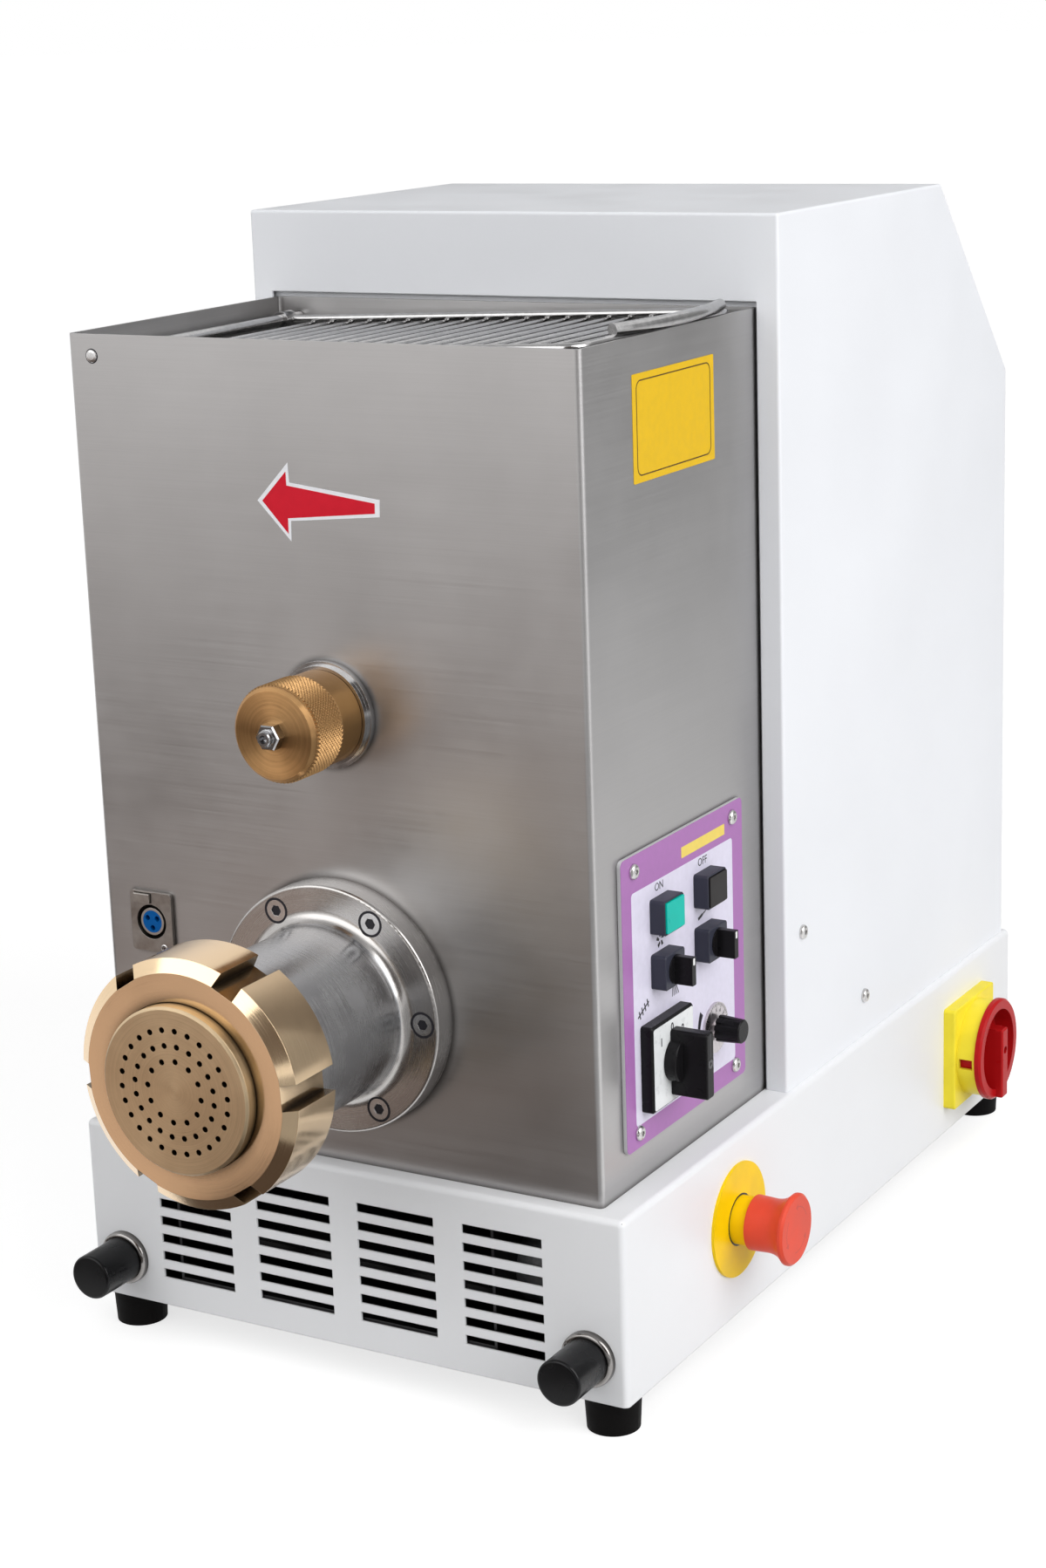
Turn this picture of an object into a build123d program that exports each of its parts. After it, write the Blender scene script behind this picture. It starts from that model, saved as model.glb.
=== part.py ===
"""Bench-top pasta extruder: mixing hopper, extruding barrel with die, rear housing and base.

Millimetres. +Z is up, the front faces -Y, and the origin is on the floor midway between the feet.
"""

from build123d import *
import math
import os

os.makedirs("parts", exist_ok=True)

# Fits and clearances
RUN_FIT = 0.08  # radial clearance of a shaft that turns in a bore
SEAT_FIT = 0.05  # radial clearance of a piece that is held in another
SLIDE_FIT = 0.3  # clearance of sliding and screwed pieces
REST_GAP = 0.3  # gap between a moving piece and the stop that it rests on
BODY_GAP = 1.0  # free space beside parts that turn or pass a hole
HEX_SIDES = 6

# Base pan and feet
BASE_SIDE = 3.0  # base beyond the housing on each side
BASE_D = 492.0
BASE_H = 94.0
BASE_EDGE_R = 3.0
PAINT_SHEET = 2.0  # thickness of the painted sheet
FOOT_H = 18.0
FOOT_R = 14.0
FOOT_TAPER = 1.0
FOOT_SIDE = 16.0  # foot axis inside the base's sides
FOOT_END = 15.0  # foot axis inside the base's front and back
WIRE_HOLE_W = 120.0
WIRE_HOLE_D = 90.0
WIRE_HOLE_BACK = 100.0  # centre of the wiring hole behind the middle of the base

# Vents in the base front
VENT_COLUMNS = 4
VENT_ROWS = 7
VENT_H = 5.0
VENT_SIDE = 44.0  # vents inside the base's sides
VENT_GAP = 16.0  # between two columns of vents
VENT_PITCH_Z = 9.6
VENT_DROP = 0.7  # middle of the vents below the middle of the base front

# Hopper
HOPPER_W = 280.0
HOPPER_H = 400.0
HOPPER_D = 179.0
HOPPER_SETBACK = 10.0  # hopper front behind the base front
HOPPER_EDGE_R = 3.0
STEEL_SHEET = 1.5

# Rear housing
HOUSING_SIDE = 13.0  # housing beyond the hopper on each side
HOUSING_RISE = 45.0  # housing top above the hopper's rim
HOUSING_D = 302.0
HOUSING_TOP_D = 204.0
HOUSING_SLOPE_H = 110.0
HOUSING_EDGE_R = 1.5
HOUSING_LAP = 4.0  # how far the hopper reaches into the housing
OPENING_SIDE = 1.2
OPENING_TOP = 3.0
BACK_PANEL_SIDE = 28.0  # back panel inside the housing's sides
BACK_PANEL_DROP = 35.0  # upper edge of the back panel below the slope
BACK_PANEL_RISE = 30.0  # lower edge of the back panel above the base
BACK_PANEL_LAP = 8.0
BACK_SLOTS = 8
BACK_SLOT_W = 150.0
BACK_SLOT_H = 5.0
BACK_SLOT_PITCH = 14.0

# Drive
GEAR_FLOOR_GAP = 3.3  # auger gear above the top of the base
GEAR_MODULE = 5.0
AUGER_TEETH = 30
MIXER_TEETH = 27
PINION_TEETH = 12
PRESSURE_ANGLE = 25.0
TOOTH_ADDENDUM = 0.9  # in modules
TOOTH_DEDENDUM = 1.2  # in modules
BACKLASH = 0.3
GEAR_W = 20.0
GEAR_WEB = 8.0
GEAR_RIM = 9.0
GEAR_HUB_R = 22.0
SHAFT_R = 12.5
BEARING_R = 21.0
BEARING_W = 12.0
BULKHEAD_T = 6.0
BULKHEAD_MARGIN = 2.0
BULKHEAD_RISE = 25.0  # bulkhead above the hopper's rim
GEAR_GAP = 9.0  # bulkhead to gear
MOTOR_PLATE_T = 8.0
MOTOR_PLATE_GAP = 8.0  # gear to motor plate
MOTOR_PLATE_MARGIN = 3.0  # plate to the housing's walls
MOTOR_PLATE_LAP = 7.0  # plate above the gearbox flange
STANDOFF_R = 9.0
STANDOFF_INSET = 14.0
STANDOFF_SPREAD = 211.0  # lower to upper pillars
MOTOR_ANGLE = 135.0  # direction from the mixer gear to the pinion
PINION_SHAFT_R = 10.0
PINION_SHAFT_IN = 40.0  # length of the pinion's shaft inside the gearbox
GEARBOX_R = 44.0
GEARBOX_L = 60.0
GEARBOX_FLANGE = 88.0
GEARBOX_FLANGE_T = 10.0
GEARBOX_HOLE_R = 26.0
MOTOR_R = 42.0
MOTOR_L = 96.0
MOTOR_FINS = 20
MOTOR_FIN_H = 4.0
MOTOR_FIN_T = 2.5
MOTOR_COVER_L = 26.0
MOTOR_BOX = 48.0
MOTOR_BOX_H = 30.0

# Extruding barrel, die and ring nut
BORE_R = 30.5
FLANGE_W = 18.5  # flange beyond the tube
FLANGE_T = 14.0
FLANGE_EDGE_R = 1.5
TUBE_R = 43.5
TUBE_L = 114.0  # hopper front to the end of the barrel
TUBE_FILLET = 6.0
SPIGOT_WALL = 3.0
FLANGE_SCREWS = 6
FLANGE_SCREW_INSET = 8.5  # screws inside the flange's rim
CAP_HEAD_R = 5.4
CAP_HEAD_H = 6.0
CAP_SHANK_R = 3.0
CAP_SOCKET_AF = 5.0
CAP_SOCKET_D = 3.0
COUNTERBORE_GAP = 1.0
NUT_WALL = 15.7  # nut beyond the tube
NUT_L = 33.0
NUT_LIP = 5.7
NUT_CHAMFER_R = 6.0
NUT_CHAMFER_L = 4.0
NUT_NOTCHES = 6
NUT_NOTCH_W = 12.0
NUT_NOTCH_D = 6.5
NUT_NOTCH_ANGLE = 3.0
DIE_FLANGE_STEP = 1.0  # die flange inside the tube's outside
DIE_FLANGE_T = 10.0
DIE_STEP = 2.9  # die face inside the die flange
DIE_PROUD = 7.0
DIE_EDGE = 1.2
DIE_HOLE_R = 1.4
DIE_WALL = 4.6
DIE_PLATE_T = 9.0
DIE_RINGS = ((29.0, 26, 2.5), (21.7, 20, 10.5), (14.6, 12, -6.0))  # radius, holes, first angle

# Auger
AUGER_GAP = 1.0  # flight to bore
AUGER_CORE_R = 11.0
AUGER_PITCH = 42.0
AUGER_FLIGHT_T = 4.0
AUGER_TIP_GAP = 4.0  # auger tip to die
AUGER_TIP_L = 12.0
AUGER_TIP_R = 4.0
AUGER_BACK_GAP = 4.0  # first flight to the back wall

# Mixing trough and mixer
TROUGH_ROOM = 23.5  # round part of the trough to the hopper's wall
TROUGH_T = 3.0
TROUGH_DROP = 29.7  # trough below the hopper's rim
TROUGH_FLARE = 55.0
TROUGH_SIDE_GAP = 0.2  # flare to the start of the hopper's corner
CHANNEL_GAP = 2.0  # flight to channel
MIXER_SHAFT_R = 15.0
PADDLE_GAP = 8.0  # paddle to trough
PADDLE_AUGER_GAP = 9.0  # paddle to auger
PADDLE_ARM_R = 5.5
PADDLE_ARMS = 4
PADDLE_STEP = 90.0  # turn from one arm to the next
PADDLE_W = 30.0
PADDLE_H = 34.0
PADDLE_T = 6.0
PADDLE_TWIST = 30.0
MIXER_END_GAP = 14.0

# Shaft pin and brass knob on the hopper front
COLLAR_R = 26.0
COLLAR_T = 3.5
COLLAR_STEP_R = 24.2
COLLAR_STEP_T = 2.5
COLLAR_NECK_R = 16.0
COLLAR_NECK_L = 10.0
PIN_R = 10.0
PIN_GRIP = 18.0  # length of the pin inside the mixer shaft
KNOB_R = 22.5
KNOB_L = 46.0  # hopper front to knob front
KNOB_FACE_T = 6.0
KNOB_CHAMFER = 1.6
KNURL_FRONT = 4.0
KNURL_L = 20.0
KNURL_H = 0.5
NIPPLE_AF = 10.0
NIPPLE_HEX_T = 5.5
NIPPLE_NECK_R = 2.4
NIPPLE_HEAD_R = 3.0
NIPPLE_L = 5.0
NIPPLE_STEM_R = 2.5
NIPPLE_STEM_L = 4.0
NIPPLE_BORE_R = 0.9

# Lid grille
LID_PIVOT_X = 14.0  # pivot inside the hopper's left face
LID_PIVOT_DROP = 10.5  # pivot below the hopper's rim
LID_ROD_R = 3.0
LID_FRAME_R = 2.2
LID_BOSS_R = 4.6
LID_BOSS_L = 9.0
LID_BAR_R = 1.6
LID_BARS = 20
LID_BAR_FIRST = 16.0
LID_BAR_LAST = 19.9  # last bar inside the rod on the right
LID_BEND_R = 10.0
LID_WELD = 0.8  # how far welded rods run into each other
LID_FRONT_GAP = 11.5  # frame to the hopper's walls
LID_BACK_GAP = 11.5
LID_RIGHT_INSET = 8.0  # rod on the right inside the hopper's right face
LID_HANDLE_R = 3.0
LID_HANDLE_L = 108.0
LID_HANDLE_BOW = 7.0  # how far the handle bends out over the rim
LID_HANDLE_BACK = 12.0  # handle's back end before the back rod
LID_CAM_R = 9.0
LID_CAM_T = 5.0
LID_CAM_FLAT = 6.0

# Control panel on the hopper's right side
PANEL_Y = 85.5  # panel's middle behind the hopper front
PANEL_W = 127.0
PANEL_H = 144.0
PANEL_RISE = 19.0  # lower edge above the base
PANEL_T = 2.0
PANEL_CORNER_R = 3.0
PANEL_SCREW_DY = 103.0
PANEL_SCREW_DZ = 129.0
BUTTON_COLUMN = 59.5  # first column of buttons behind the hopper front
BUTTON_COLUMN_PITCH = 45.5
BUTTON_ROW = 101.6  # lower row of buttons above the base
BUTTON_ROW_PITCH = 27.1
SWITCH_W = 20.0
SWITCH_H = 17.0
SWITCH_T = 8.0
SWITCH_EDGE_R = 1.5
SWITCH_WALL = 0.7  # housing beside a button
SWITCH_POCKET_D = 6.0
SWITCH_NECK_R = 6.5
BLOCK_W = 18.0
BLOCK_H = 16.0
BLOCK_L = 16.0
BUTTON_PROUD = 0.8
BUTTON_T = 2.8
BUTTON_TRAVEL = 2.5
BUTTON_STEM_R = 3.0
BUTTON_STEM_L = 22.0
SWITCH_CHAMFER = 0.4
LEVER_HUB_R = 6.6
LEVER_T = 4.0
LEVER_H = 14.0
LEVER_PROUD = 9.8
CAM_Y = 58.8
CAM_RISE = 56.8
CAM_SIZE = 43.0
CAM_T = 6.5
CAM_NECK_R = 12.0
CAM_BLOCK = 36.0
CAM_BLOCK_L = 22.0
CAM_HUB_R = 11.0
CAM_HUB_T = 6.0
CAM_BLADE_H = 33.0
CAM_BLADE_T = 7.5
CAM_BLADE_PROUD = 19.5
CAM_BLADE_LOW = 17.5  # blade below the hub's axis
CAM_STEM_R = 4.0
CAM_STEM_L = 28.0
CAM_EDGE = 1.0
CAM_CORNER_R = 1.5
DIAL_Y = 114.5
DIAL_RISE = 53.6
DIAL_R = 12.8
DIAL_T = 1.5
DIAL_BUSH_R = 4.5
DIAL_BUSH_T = 1.5
POT_R = 8.0
POT_L = 9.0
SPEED_KNOB_R = 6.8
SPEED_KNOB_TIP_R = 6.0
SPEED_KNOB_L = 13.0
SPEED_KNOB_FLUTES = 10
SPEED_FLUTE_R = 0.9
SPEED_STEM_R = 3.0
SPEED_STEM_L = 12.0
SPEED_EDGE = 0.6

# Accessory connector on the hopper front
CONNECTOR_INSET = 28.8  # connector axis inside the hopper's left face
CONNECTOR_RISE = 109.3
CONNECTOR_W = 25.0
CONNECTOR_H = 31.0
CONNECTOR_T = 2.2
CONNECTOR_CORNER_R = 2.0
CONNECTOR_BARREL_R = 11.8
CONNECTOR_BARREL_L = 18.0
CONNECTOR_MOUTH_R = 8.9
CONNECTOR_MOUTH_D = 12.0
INSERT_R = 7.0
INSERT_SETBACK = 0.6
CONTACTS = 3
CONTACT_R = 1.4
CONTACT_PCD = 6.6
CONTACT_D = 8.0
LATCH_W = 9.6
LATCH_H = 4.6
LATCH_T = 1.6
LATCH_TRAVEL = 1.2
LATCH_RISE = 12.2
LATCH_SIDE = 4.6  # latch beside the connector's axis

# Emergency stop
ESTOP_Y = -127.0
ESTOP_RISE = 50.5  # axis above the base's lower edge
ESTOP_PLATE_R = 29.3
ESTOP_PLATE_T = 1.5
ESTOP_NECK_R = 12.4
ESTOP_NECK_L = 10.5
ESTOP_THREAD_R = 11.0
ESTOP_BLOCK_W = 30.0
ESTOP_BLOCK_H = 36.0
ESTOP_BLOCK_L = 34.0
ESTOP_PLUNGER_R = 7.0
ESTOP_PLUNGER_IN = 24.0  # plunger behind the base's face
ESTOP_TRAVEL = 5.0
HEAD_SKIRT_R = 14.0
HEAD_WAIST_R = 13.6
HEAD_R = 18.2
HEAD_L = 22.5
HEAD_LAP = 2.0  # skirt over the neck at rest
HEAD_EDGE_R = 2.5
HEAD_WALL = 1.2

# Main switch
MAIN_Y = 172.5
MAIN_RISE = 45.0
MAIN_SIZE = 60.0
MAIN_T = 7.0
MAIN_EDGE_R = 2.0
MAIN_COLLAR_R = 28.0
MAIN_COLLAR_L = 11.0
MAIN_CUP_R = 25.5
MAIN_WINDOW_W = 8.0
MAIN_WINDOW_H = 6.0
MAIN_RIM_R = 29.5
MAIN_RIM_T = 3.7
MAIN_RECESS_R = 23.5
MAIN_FLOOR_T = 3.0
MAIN_BAR_W = 8.5
MAIN_BAR_TOP = 13.0  # upper end of the bar above the axis
MAIN_BAR_LOW = 28.5  # lower end of the bar below the axis
MAIN_BAR_EDGE_R = 1.2
MAIN_WINDOW_DROP = 2.0
MAIN_STEM_L = 46.0
MAIN_BAR_PROUD = 4.0
MAIN_STEM_R = 5.0
MAIN_BLOCK = 50.0
MAIN_BLOCK_L = 40.0
MAIN_SCREW_R = 2.2
MAIN_SCREW_D = 3.0

# Tray rods in the base front
TRAY_SIDE = 20.0  # rod axis inside the base's sides
TRAY_RISE = 22.0
TRAY_ROD_R = 8.0
TRAY_ROD_L = 206.0
TRAY_COLLAR_R = 14.0
TRAY_COLLAR_T = 4.0
TRAY_TUBE_R = 10.5
TRAY_TUBE_L = 98.0
TRAY_CAP_R = 11.6
TRAY_CAP_L = 26.0
TRAY_CAP_FACE = 4.0
TRAY_CAP_EDGE_R = 1.5

# Blower behind the vents
FAN_R = 25.0
FAN_LEFT_ROOM = 58.0  # rotor inside the base's left side
FAN_RIGHT_ROOM = 76.0  # rotor inside the base's right side
FAN_SET = 42.0  # rotor axis behind the base front
FAN_BLADES = 18
FAN_BLADE_T = 1.2
FAN_BLADE_W = 8.0
FAN_DISC_T = 2.0
FAN_SHAFT_R = 3.0
SCROLL_GAP = 5.0
SCROLL_T = 1.5
SCROLL_END_GAP = 3.0
FAN_BLADE_TILT = 25.0
FAN_MOTOR_R = 20.0
FAN_MOTOR_L = 30.0

# Electrical pieces and small hardware
DOME_R = 3.8
DOME_H = 2.2
DOME_SHANK_R = 2.0
DOME_SHANK_L = 8.0
DOME_ROUND = 1.8
DOME_SOCKET_AF = 2.5
DOME_SOCKET_D = 1.2
HOUSING_SCREWS = ((20.0, 81.0), (98.0, 22.5))  # behind the housing front, above the base
LID_SWITCH_W = 12.0
LID_SWITCH_H = 26.0
LID_SWITCH_D = 16.0
CONTACTOR_W = 45.0
CONTACTOR_D = 70.0
CONTACTOR_H = 62.0
CONTACTOR_SIDE = 86.0  # middle of the contactor inside the base's left side
CONTACTOR_Y = 110.0
GLAND_SIDE = 61.0  # gland axis inside the base's left side
GLAND_RISE = 42.0
GLAND_AF = 24.0
GLAND_HEX_T = 6.0
GLAND_DOME_L = 9.0
GLAND_BORE_R = 5.0
GLAND_THREAD_R = 9.0
GLAND_THREAD_L = 12.0
GLAND_NUT_T = 4.0

# Places that follow from the sizes above
HOUSING_W = HOPPER_W + 2 * HOUSING_SIDE
HOUSING_H = HOPPER_H + HOUSING_RISE
BASE_W = HOUSING_W + 2 * BASE_SIDE
FOOT_DX = BASE_W - 2 * FOOT_SIDE
FOOT_DY = BASE_D - 2 * FOOT_END
VENT_W = (BASE_W - 2 * VENT_SIDE - (VENT_COLUMNS - 1) * VENT_GAP) / VENT_COLUMNS
VENT_PITCH_X = VENT_W + VENT_GAP
VENT_MID = BASE_H / 2 - VENT_DROP
BACK_PANEL_W = HOUSING_W - 2 * BACK_PANEL_SIDE
BACK_PANEL_H = HOUSING_H - HOUSING_SLOPE_H - BACK_PANEL_RISE - BACK_PANEL_DROP
BULKHEAD_H = HOPPER_H + BULKHEAD_RISE
BASE_BOTTOM = FOOT_H
BASE_TOP = FOOT_H + BASE_H
BASE_FRONT = -BASE_D / 2
BASE_BACK = BASE_D / 2
BASE_RIGHT = BASE_W / 2
FLOOR_TOP = BASE_BOTTOM + PAINT_SHEET
HOPPER_FRONT = BASE_FRONT + HOPPER_SETBACK
HOPPER_BACK = HOPPER_FRONT + HOPPER_D
HOPPER_TOP = BASE_TOP + HOPPER_H
HOPPER_RIGHT = HOPPER_W / 2
INNER_FRONT = HOPPER_FRONT + STEEL_SHEET
INNER_BACK = HOPPER_BACK - STEEL_SHEET
INNER_RIGHT = HOPPER_RIGHT - STEEL_SHEET
HOUSING_FRONT = HOPPER_BACK - HOUSING_LAP
HOUSING_BACK = HOUSING_FRONT + HOUSING_D
HOUSING_TOP = BASE_TOP + HOUSING_H
AUGER_Z = BASE_TOP + GEAR_MODULE * (AUGER_TEETH / 2 + TOOTH_ADDENDUM) + GEAR_FLOOR_GAP
MIXER_Z = AUGER_Z + GEAR_MODULE * (AUGER_TEETH + MIXER_TEETH) / 2
MOTOR_REACH = GEAR_MODULE * (MIXER_TEETH + PINION_TEETH) / 2
MOTOR_X = MOTOR_REACH * math.cos(math.radians(MOTOR_ANGLE))
MOTOR_Z = MIXER_Z + MOTOR_REACH * math.sin(math.radians(MOTOR_ANGLE))
MOTOR_PLATE_W = HOUSING_W - 2 * PAINT_SHEET - 2 * MOTOR_PLATE_MARGIN
MOTOR_PLATE_H = MOTOR_Z + GEARBOX_FLANGE / 2 + MOTOR_PLATE_LAP - BASE_TOP
BULKHEAD_BACK = HOPPER_BACK + BULKHEAD_T
GEAR_FRONT = BULKHEAD_BACK + GEAR_GAP
GEAR_BACK = GEAR_FRONT + GEAR_W
MOTOR_PLATE_FRONT = GEAR_BACK + MOTOR_PLATE_GAP
MOTOR_PLATE_BACK = MOTOR_PLATE_FRONT + MOTOR_PLATE_T
FLANGE_R = TUBE_R + FLANGE_W
FLANGE_SCREW_PCD = 2 * (FLANGE_R - FLANGE_SCREW_INSET)
SPIGOT_R = BORE_R + SPIGOT_WALL
NUT_R = TUBE_R + NUT_WALL
DIE_FLANGE_R = TUBE_R - DIE_FLANGE_STEP
DIE_FACE_R = DIE_FLANGE_R - DIE_STEP
DIE_POCKET_R = DIE_FACE_R - DIE_WALL
AUGER_R = BORE_R - AUGER_GAP
CHANNEL_R = AUGER_R + CHANNEL_GAP
TROUGH_R = INNER_RIGHT - TROUGH_T - TROUGH_ROOM
TROUGH_STRAIGHT = HOPPER_TOP - TROUGH_DROP - TROUGH_FLARE - MIXER_Z
PADDLE_REACH = min(TROUGH_R - PADDLE_GAP, MIXER_Z - AUGER_Z - AUGER_R - PADDLE_AUGER_GAP)
BARREL_END = HOPPER_FRONT - TUBE_L
DIE_SHOULDER = BARREL_END - DIE_FLANGE_T
NUT_FRONT = DIE_SHOULDER - REST_GAP - NUT_LIP
NUT_BACK = NUT_FRONT + NUT_L
DIE_FRONT = NUT_FRONT - DIE_PROUD
COLLAR_FRONT = HOPPER_FRONT - COLLAR_T - COLLAR_STEP_T
KNOB_FRONT = HOPPER_FRONT - KNOB_L
KNOB_BACK = COLLAR_FRONT - REST_GAP
MIXER_FRONT = HOPPER_FRONT + MIXER_END_GAP
LID_X = -HOPPER_RIGHT + LID_PIVOT_X
LID_Z = HOPPER_TOP - LID_PIVOT_DROP
LID_FRONT_Y = INNER_FRONT + LID_FRONT_GAP
LID_BACK_Y = INNER_BACK - LID_BACK_GAP
PANEL_FACE = HOPPER_RIGHT + PANEL_T
SWITCH_FACE = PANEL_FACE + SWITCH_T
BUTTON_NEAR_Y = HOPPER_FRONT + BUTTON_COLUMN
BUTTON_FAR_Y = BUTTON_NEAR_Y + BUTTON_COLUMN_PITCH
BUTTON_LOW_Z = BASE_TOP + BUTTON_ROW
BUTTON_HIGH_Z = BUTTON_LOW_Z + BUTTON_ROW_PITCH
START_AT = (BUTTON_NEAR_Y, BUTTON_HIGH_Z)
STOP_AT = (BUTTON_FAR_Y, BUTTON_HIGH_Z)
FAN_SELECTOR_AT = (BUTTON_NEAR_Y, BUTTON_LOW_Z)
KNIFE_SELECTOR_AT = (BUTTON_FAR_Y, BUTTON_LOW_Z)
SWITCHES_AT = (START_AT, STOP_AT, FAN_SELECTOR_AT, KNIFE_SELECTOR_AT)
PANEL_AT = (HOPPER_FRONT + PANEL_Y, BASE_TOP + PANEL_RISE + PANEL_H / 2)
CAM_AT = (HOPPER_FRONT + CAM_Y, BASE_TOP + CAM_RISE)
CAM_FACE = PANEL_FACE + CAM_T
DIAL_AT = (HOPPER_FRONT + DIAL_Y, BASE_TOP + DIAL_RISE)
CONNECTOR_X = -HOPPER_RIGHT + CONNECTOR_INSET
CONNECTOR_Z = BASE_TOP + CONNECTOR_RISE
ESTOP_Z = BASE_BOTTOM + ESTOP_RISE
MAIN_Z = BASE_BOTTOM + MAIN_RISE
TRAY_X = BASE_RIGHT - TRAY_SIDE
TRAY_Z = BASE_BOTTOM + TRAY_RISE
FAN_LEFT = -BASE_RIGHT + FAN_LEFT_ROOM
FAN_RIGHT = BASE_RIGHT - FAN_RIGHT_ROOM
CONTACTOR_X = -BASE_RIGHT + CONTACTOR_SIDE
GLAND_X = -BASE_RIGHT + GLAND_SIDE
FAN_Y = BASE_FRONT + FAN_SET
FAN_Z = BASE_BOTTOM + VENT_MID
BACK_PANEL_Z = BASE_TOP + BACK_PANEL_RISE + BACK_PANEL_H / 2


def front_plane(y):
    """A plane across the machine at y, seen from the front: X to the right, Z up."""
    return Plane.XZ.offset(-y)


def side_plane(x):
    """A plane along the machine at x, seen from the right: Y to the right, Z up."""
    return Plane.YZ.offset(x)


def turning_plane(x, z):
    """A plane for profiles turned about a front-to-back axis: Y along it, radius upwards."""
    return Plane((x, 0, z), x_dir=(0, 1, 0), z_dir=(1, 0, 0))


def cross_plane(y, z):
    """A plane for profiles turned about a left-to-right axis: X along it, radius upwards."""
    return Plane((0, y, z), x_dir=(1, 0, 0), z_dir=(0, -1, 0))


def front_axis(x, z):
    """The front-to-back axis through x and z."""
    return Axis((x, 0, z), (0, 1, 0))


def cross_axis(y, z):
    """The left-to-right axis through y and z."""
    return Axis((0, y, z), (1, 0, 0))


def outline(points):
    """A face with straight sides through the points, in the sketch that is open."""
    Polygon(*points, align=None)


def panel_holes():
    """The holes behind the control panel, in the sketch that is open."""
    with Locations(*SWITCHES_AT):
        Circle(SWITCH_NECK_R + SEAT_FIT)
    with Locations(CAM_AT):
        Circle(CAM_NECK_R + SEAT_FIT)
    with Locations(DIAL_AT):
        Circle(DIAL_BUSH_R + SEAT_FIT)
    with Locations(PANEL_AT):
        with GridLocations(PANEL_SCREW_DY, PANEL_SCREW_DZ, 2, 2):
            Circle(DOME_SHANK_R + SEAT_FIT)


def back_screw_holes():
    """The screw holes round the back panel, in the sketch that is open."""
    with Locations((0, BACK_PANEL_Z)):
        with GridLocations(BACK_PANEL_W - BACK_PANEL_LAP, BACK_PANEL_H - BACK_PANEL_LAP, 2, 2):
            Circle(DOME_SHANK_R + SEAT_FIT)


def save(builder, name):
    """Names the finished piece and writes it."""
    builder.part.label = name
    export_step(builder.part, "parts/" + name + ".step")


# Base pan: a folded pan, open below, with the vents and the holes for what passes through it
with BuildPart() as base_pan:
    with BuildSketch(Plane.XY.offset(BASE_BOTTOM)):
        Rectangle(BASE_W, BASE_D)
    extrude(amount=BASE_H)
    upper_edges = base_pan.edges().filter_by(lambda e: e.center().Z > BASE_BOTTOM + BASE_EDGE_R)
    fillet(upper_edges, BASE_EDGE_R)
    offset(amount=-PAINT_SHEET, openings=base_pan.faces().sort_by(Axis.Z)[0])
    with BuildSketch(front_plane(BASE_FRONT)):
        with Locations((0, FAN_Z)):
            with GridLocations(VENT_PITCH_X, VENT_PITCH_Z, VENT_COLUMNS, VENT_ROWS):
                Rectangle(VENT_W, VENT_H)
        with Locations((-TRAY_X, TRAY_Z), (TRAY_X, TRAY_Z)):
            Circle(TRAY_TUBE_R + SEAT_FIT)
    extrude(amount=-2 * PAINT_SHEET, mode=Mode.SUBTRACT)
    with BuildSketch(side_plane(BASE_RIGHT)):
        with Locations((ESTOP_Y, ESTOP_Z)):
            Circle(ESTOP_THREAD_R + SEAT_FIT)
        with Locations((MAIN_Y, MAIN_Z)):
            Circle(MAIN_STEM_R + BODY_GAP)
    extrude(amount=-2 * PAINT_SHEET, mode=Mode.SUBTRACT)
    with BuildSketch(front_plane(BASE_BACK)):
        with Locations((GLAND_X, BASE_BOTTOM + GLAND_RISE)):
            Circle(GLAND_THREAD_R + SEAT_FIT)
    extrude(amount=2 * PAINT_SHEET, mode=Mode.SUBTRACT)
    with BuildSketch(Plane.XY.offset(BASE_TOP)):
        with Locations((0, WIRE_HOLE_BACK)):
            Rectangle(WIRE_HOLE_W, WIRE_HOLE_D)
    extrude(amount=-2 * PAINT_SHEET, mode=Mode.SUBTRACT)
save(base_pan, "base_pan")

# Bottom plate: closes the pan and carries the feet
with BuildPart() as bottom_plate:
    with BuildSketch(Plane.XY.offset(BASE_BOTTOM)):
        plate_w = BASE_W - 2 * PAINT_SHEET - 2 * SLIDE_FIT
        plate_d = BASE_D - 2 * PAINT_SHEET - 2 * SLIDE_FIT
        RectangleRounded(plate_w, plate_d, BASE_EDGE_R)
    extrude(amount=PAINT_SHEET)
save(bottom_plate, "bottom_plate")

# Feet: four tapered rubber feet
with BuildPart() as feet:
    with BuildSketch():
        with GridLocations(FOOT_DX, FOOT_DY, 2, 2):
            Circle(FOOT_R - FOOT_TAPER)
    extrude(amount=FOOT_H, taper=-math.degrees(math.atan2(FOOT_TAPER, FOOT_H)))
save(feet, "feet")

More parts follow.
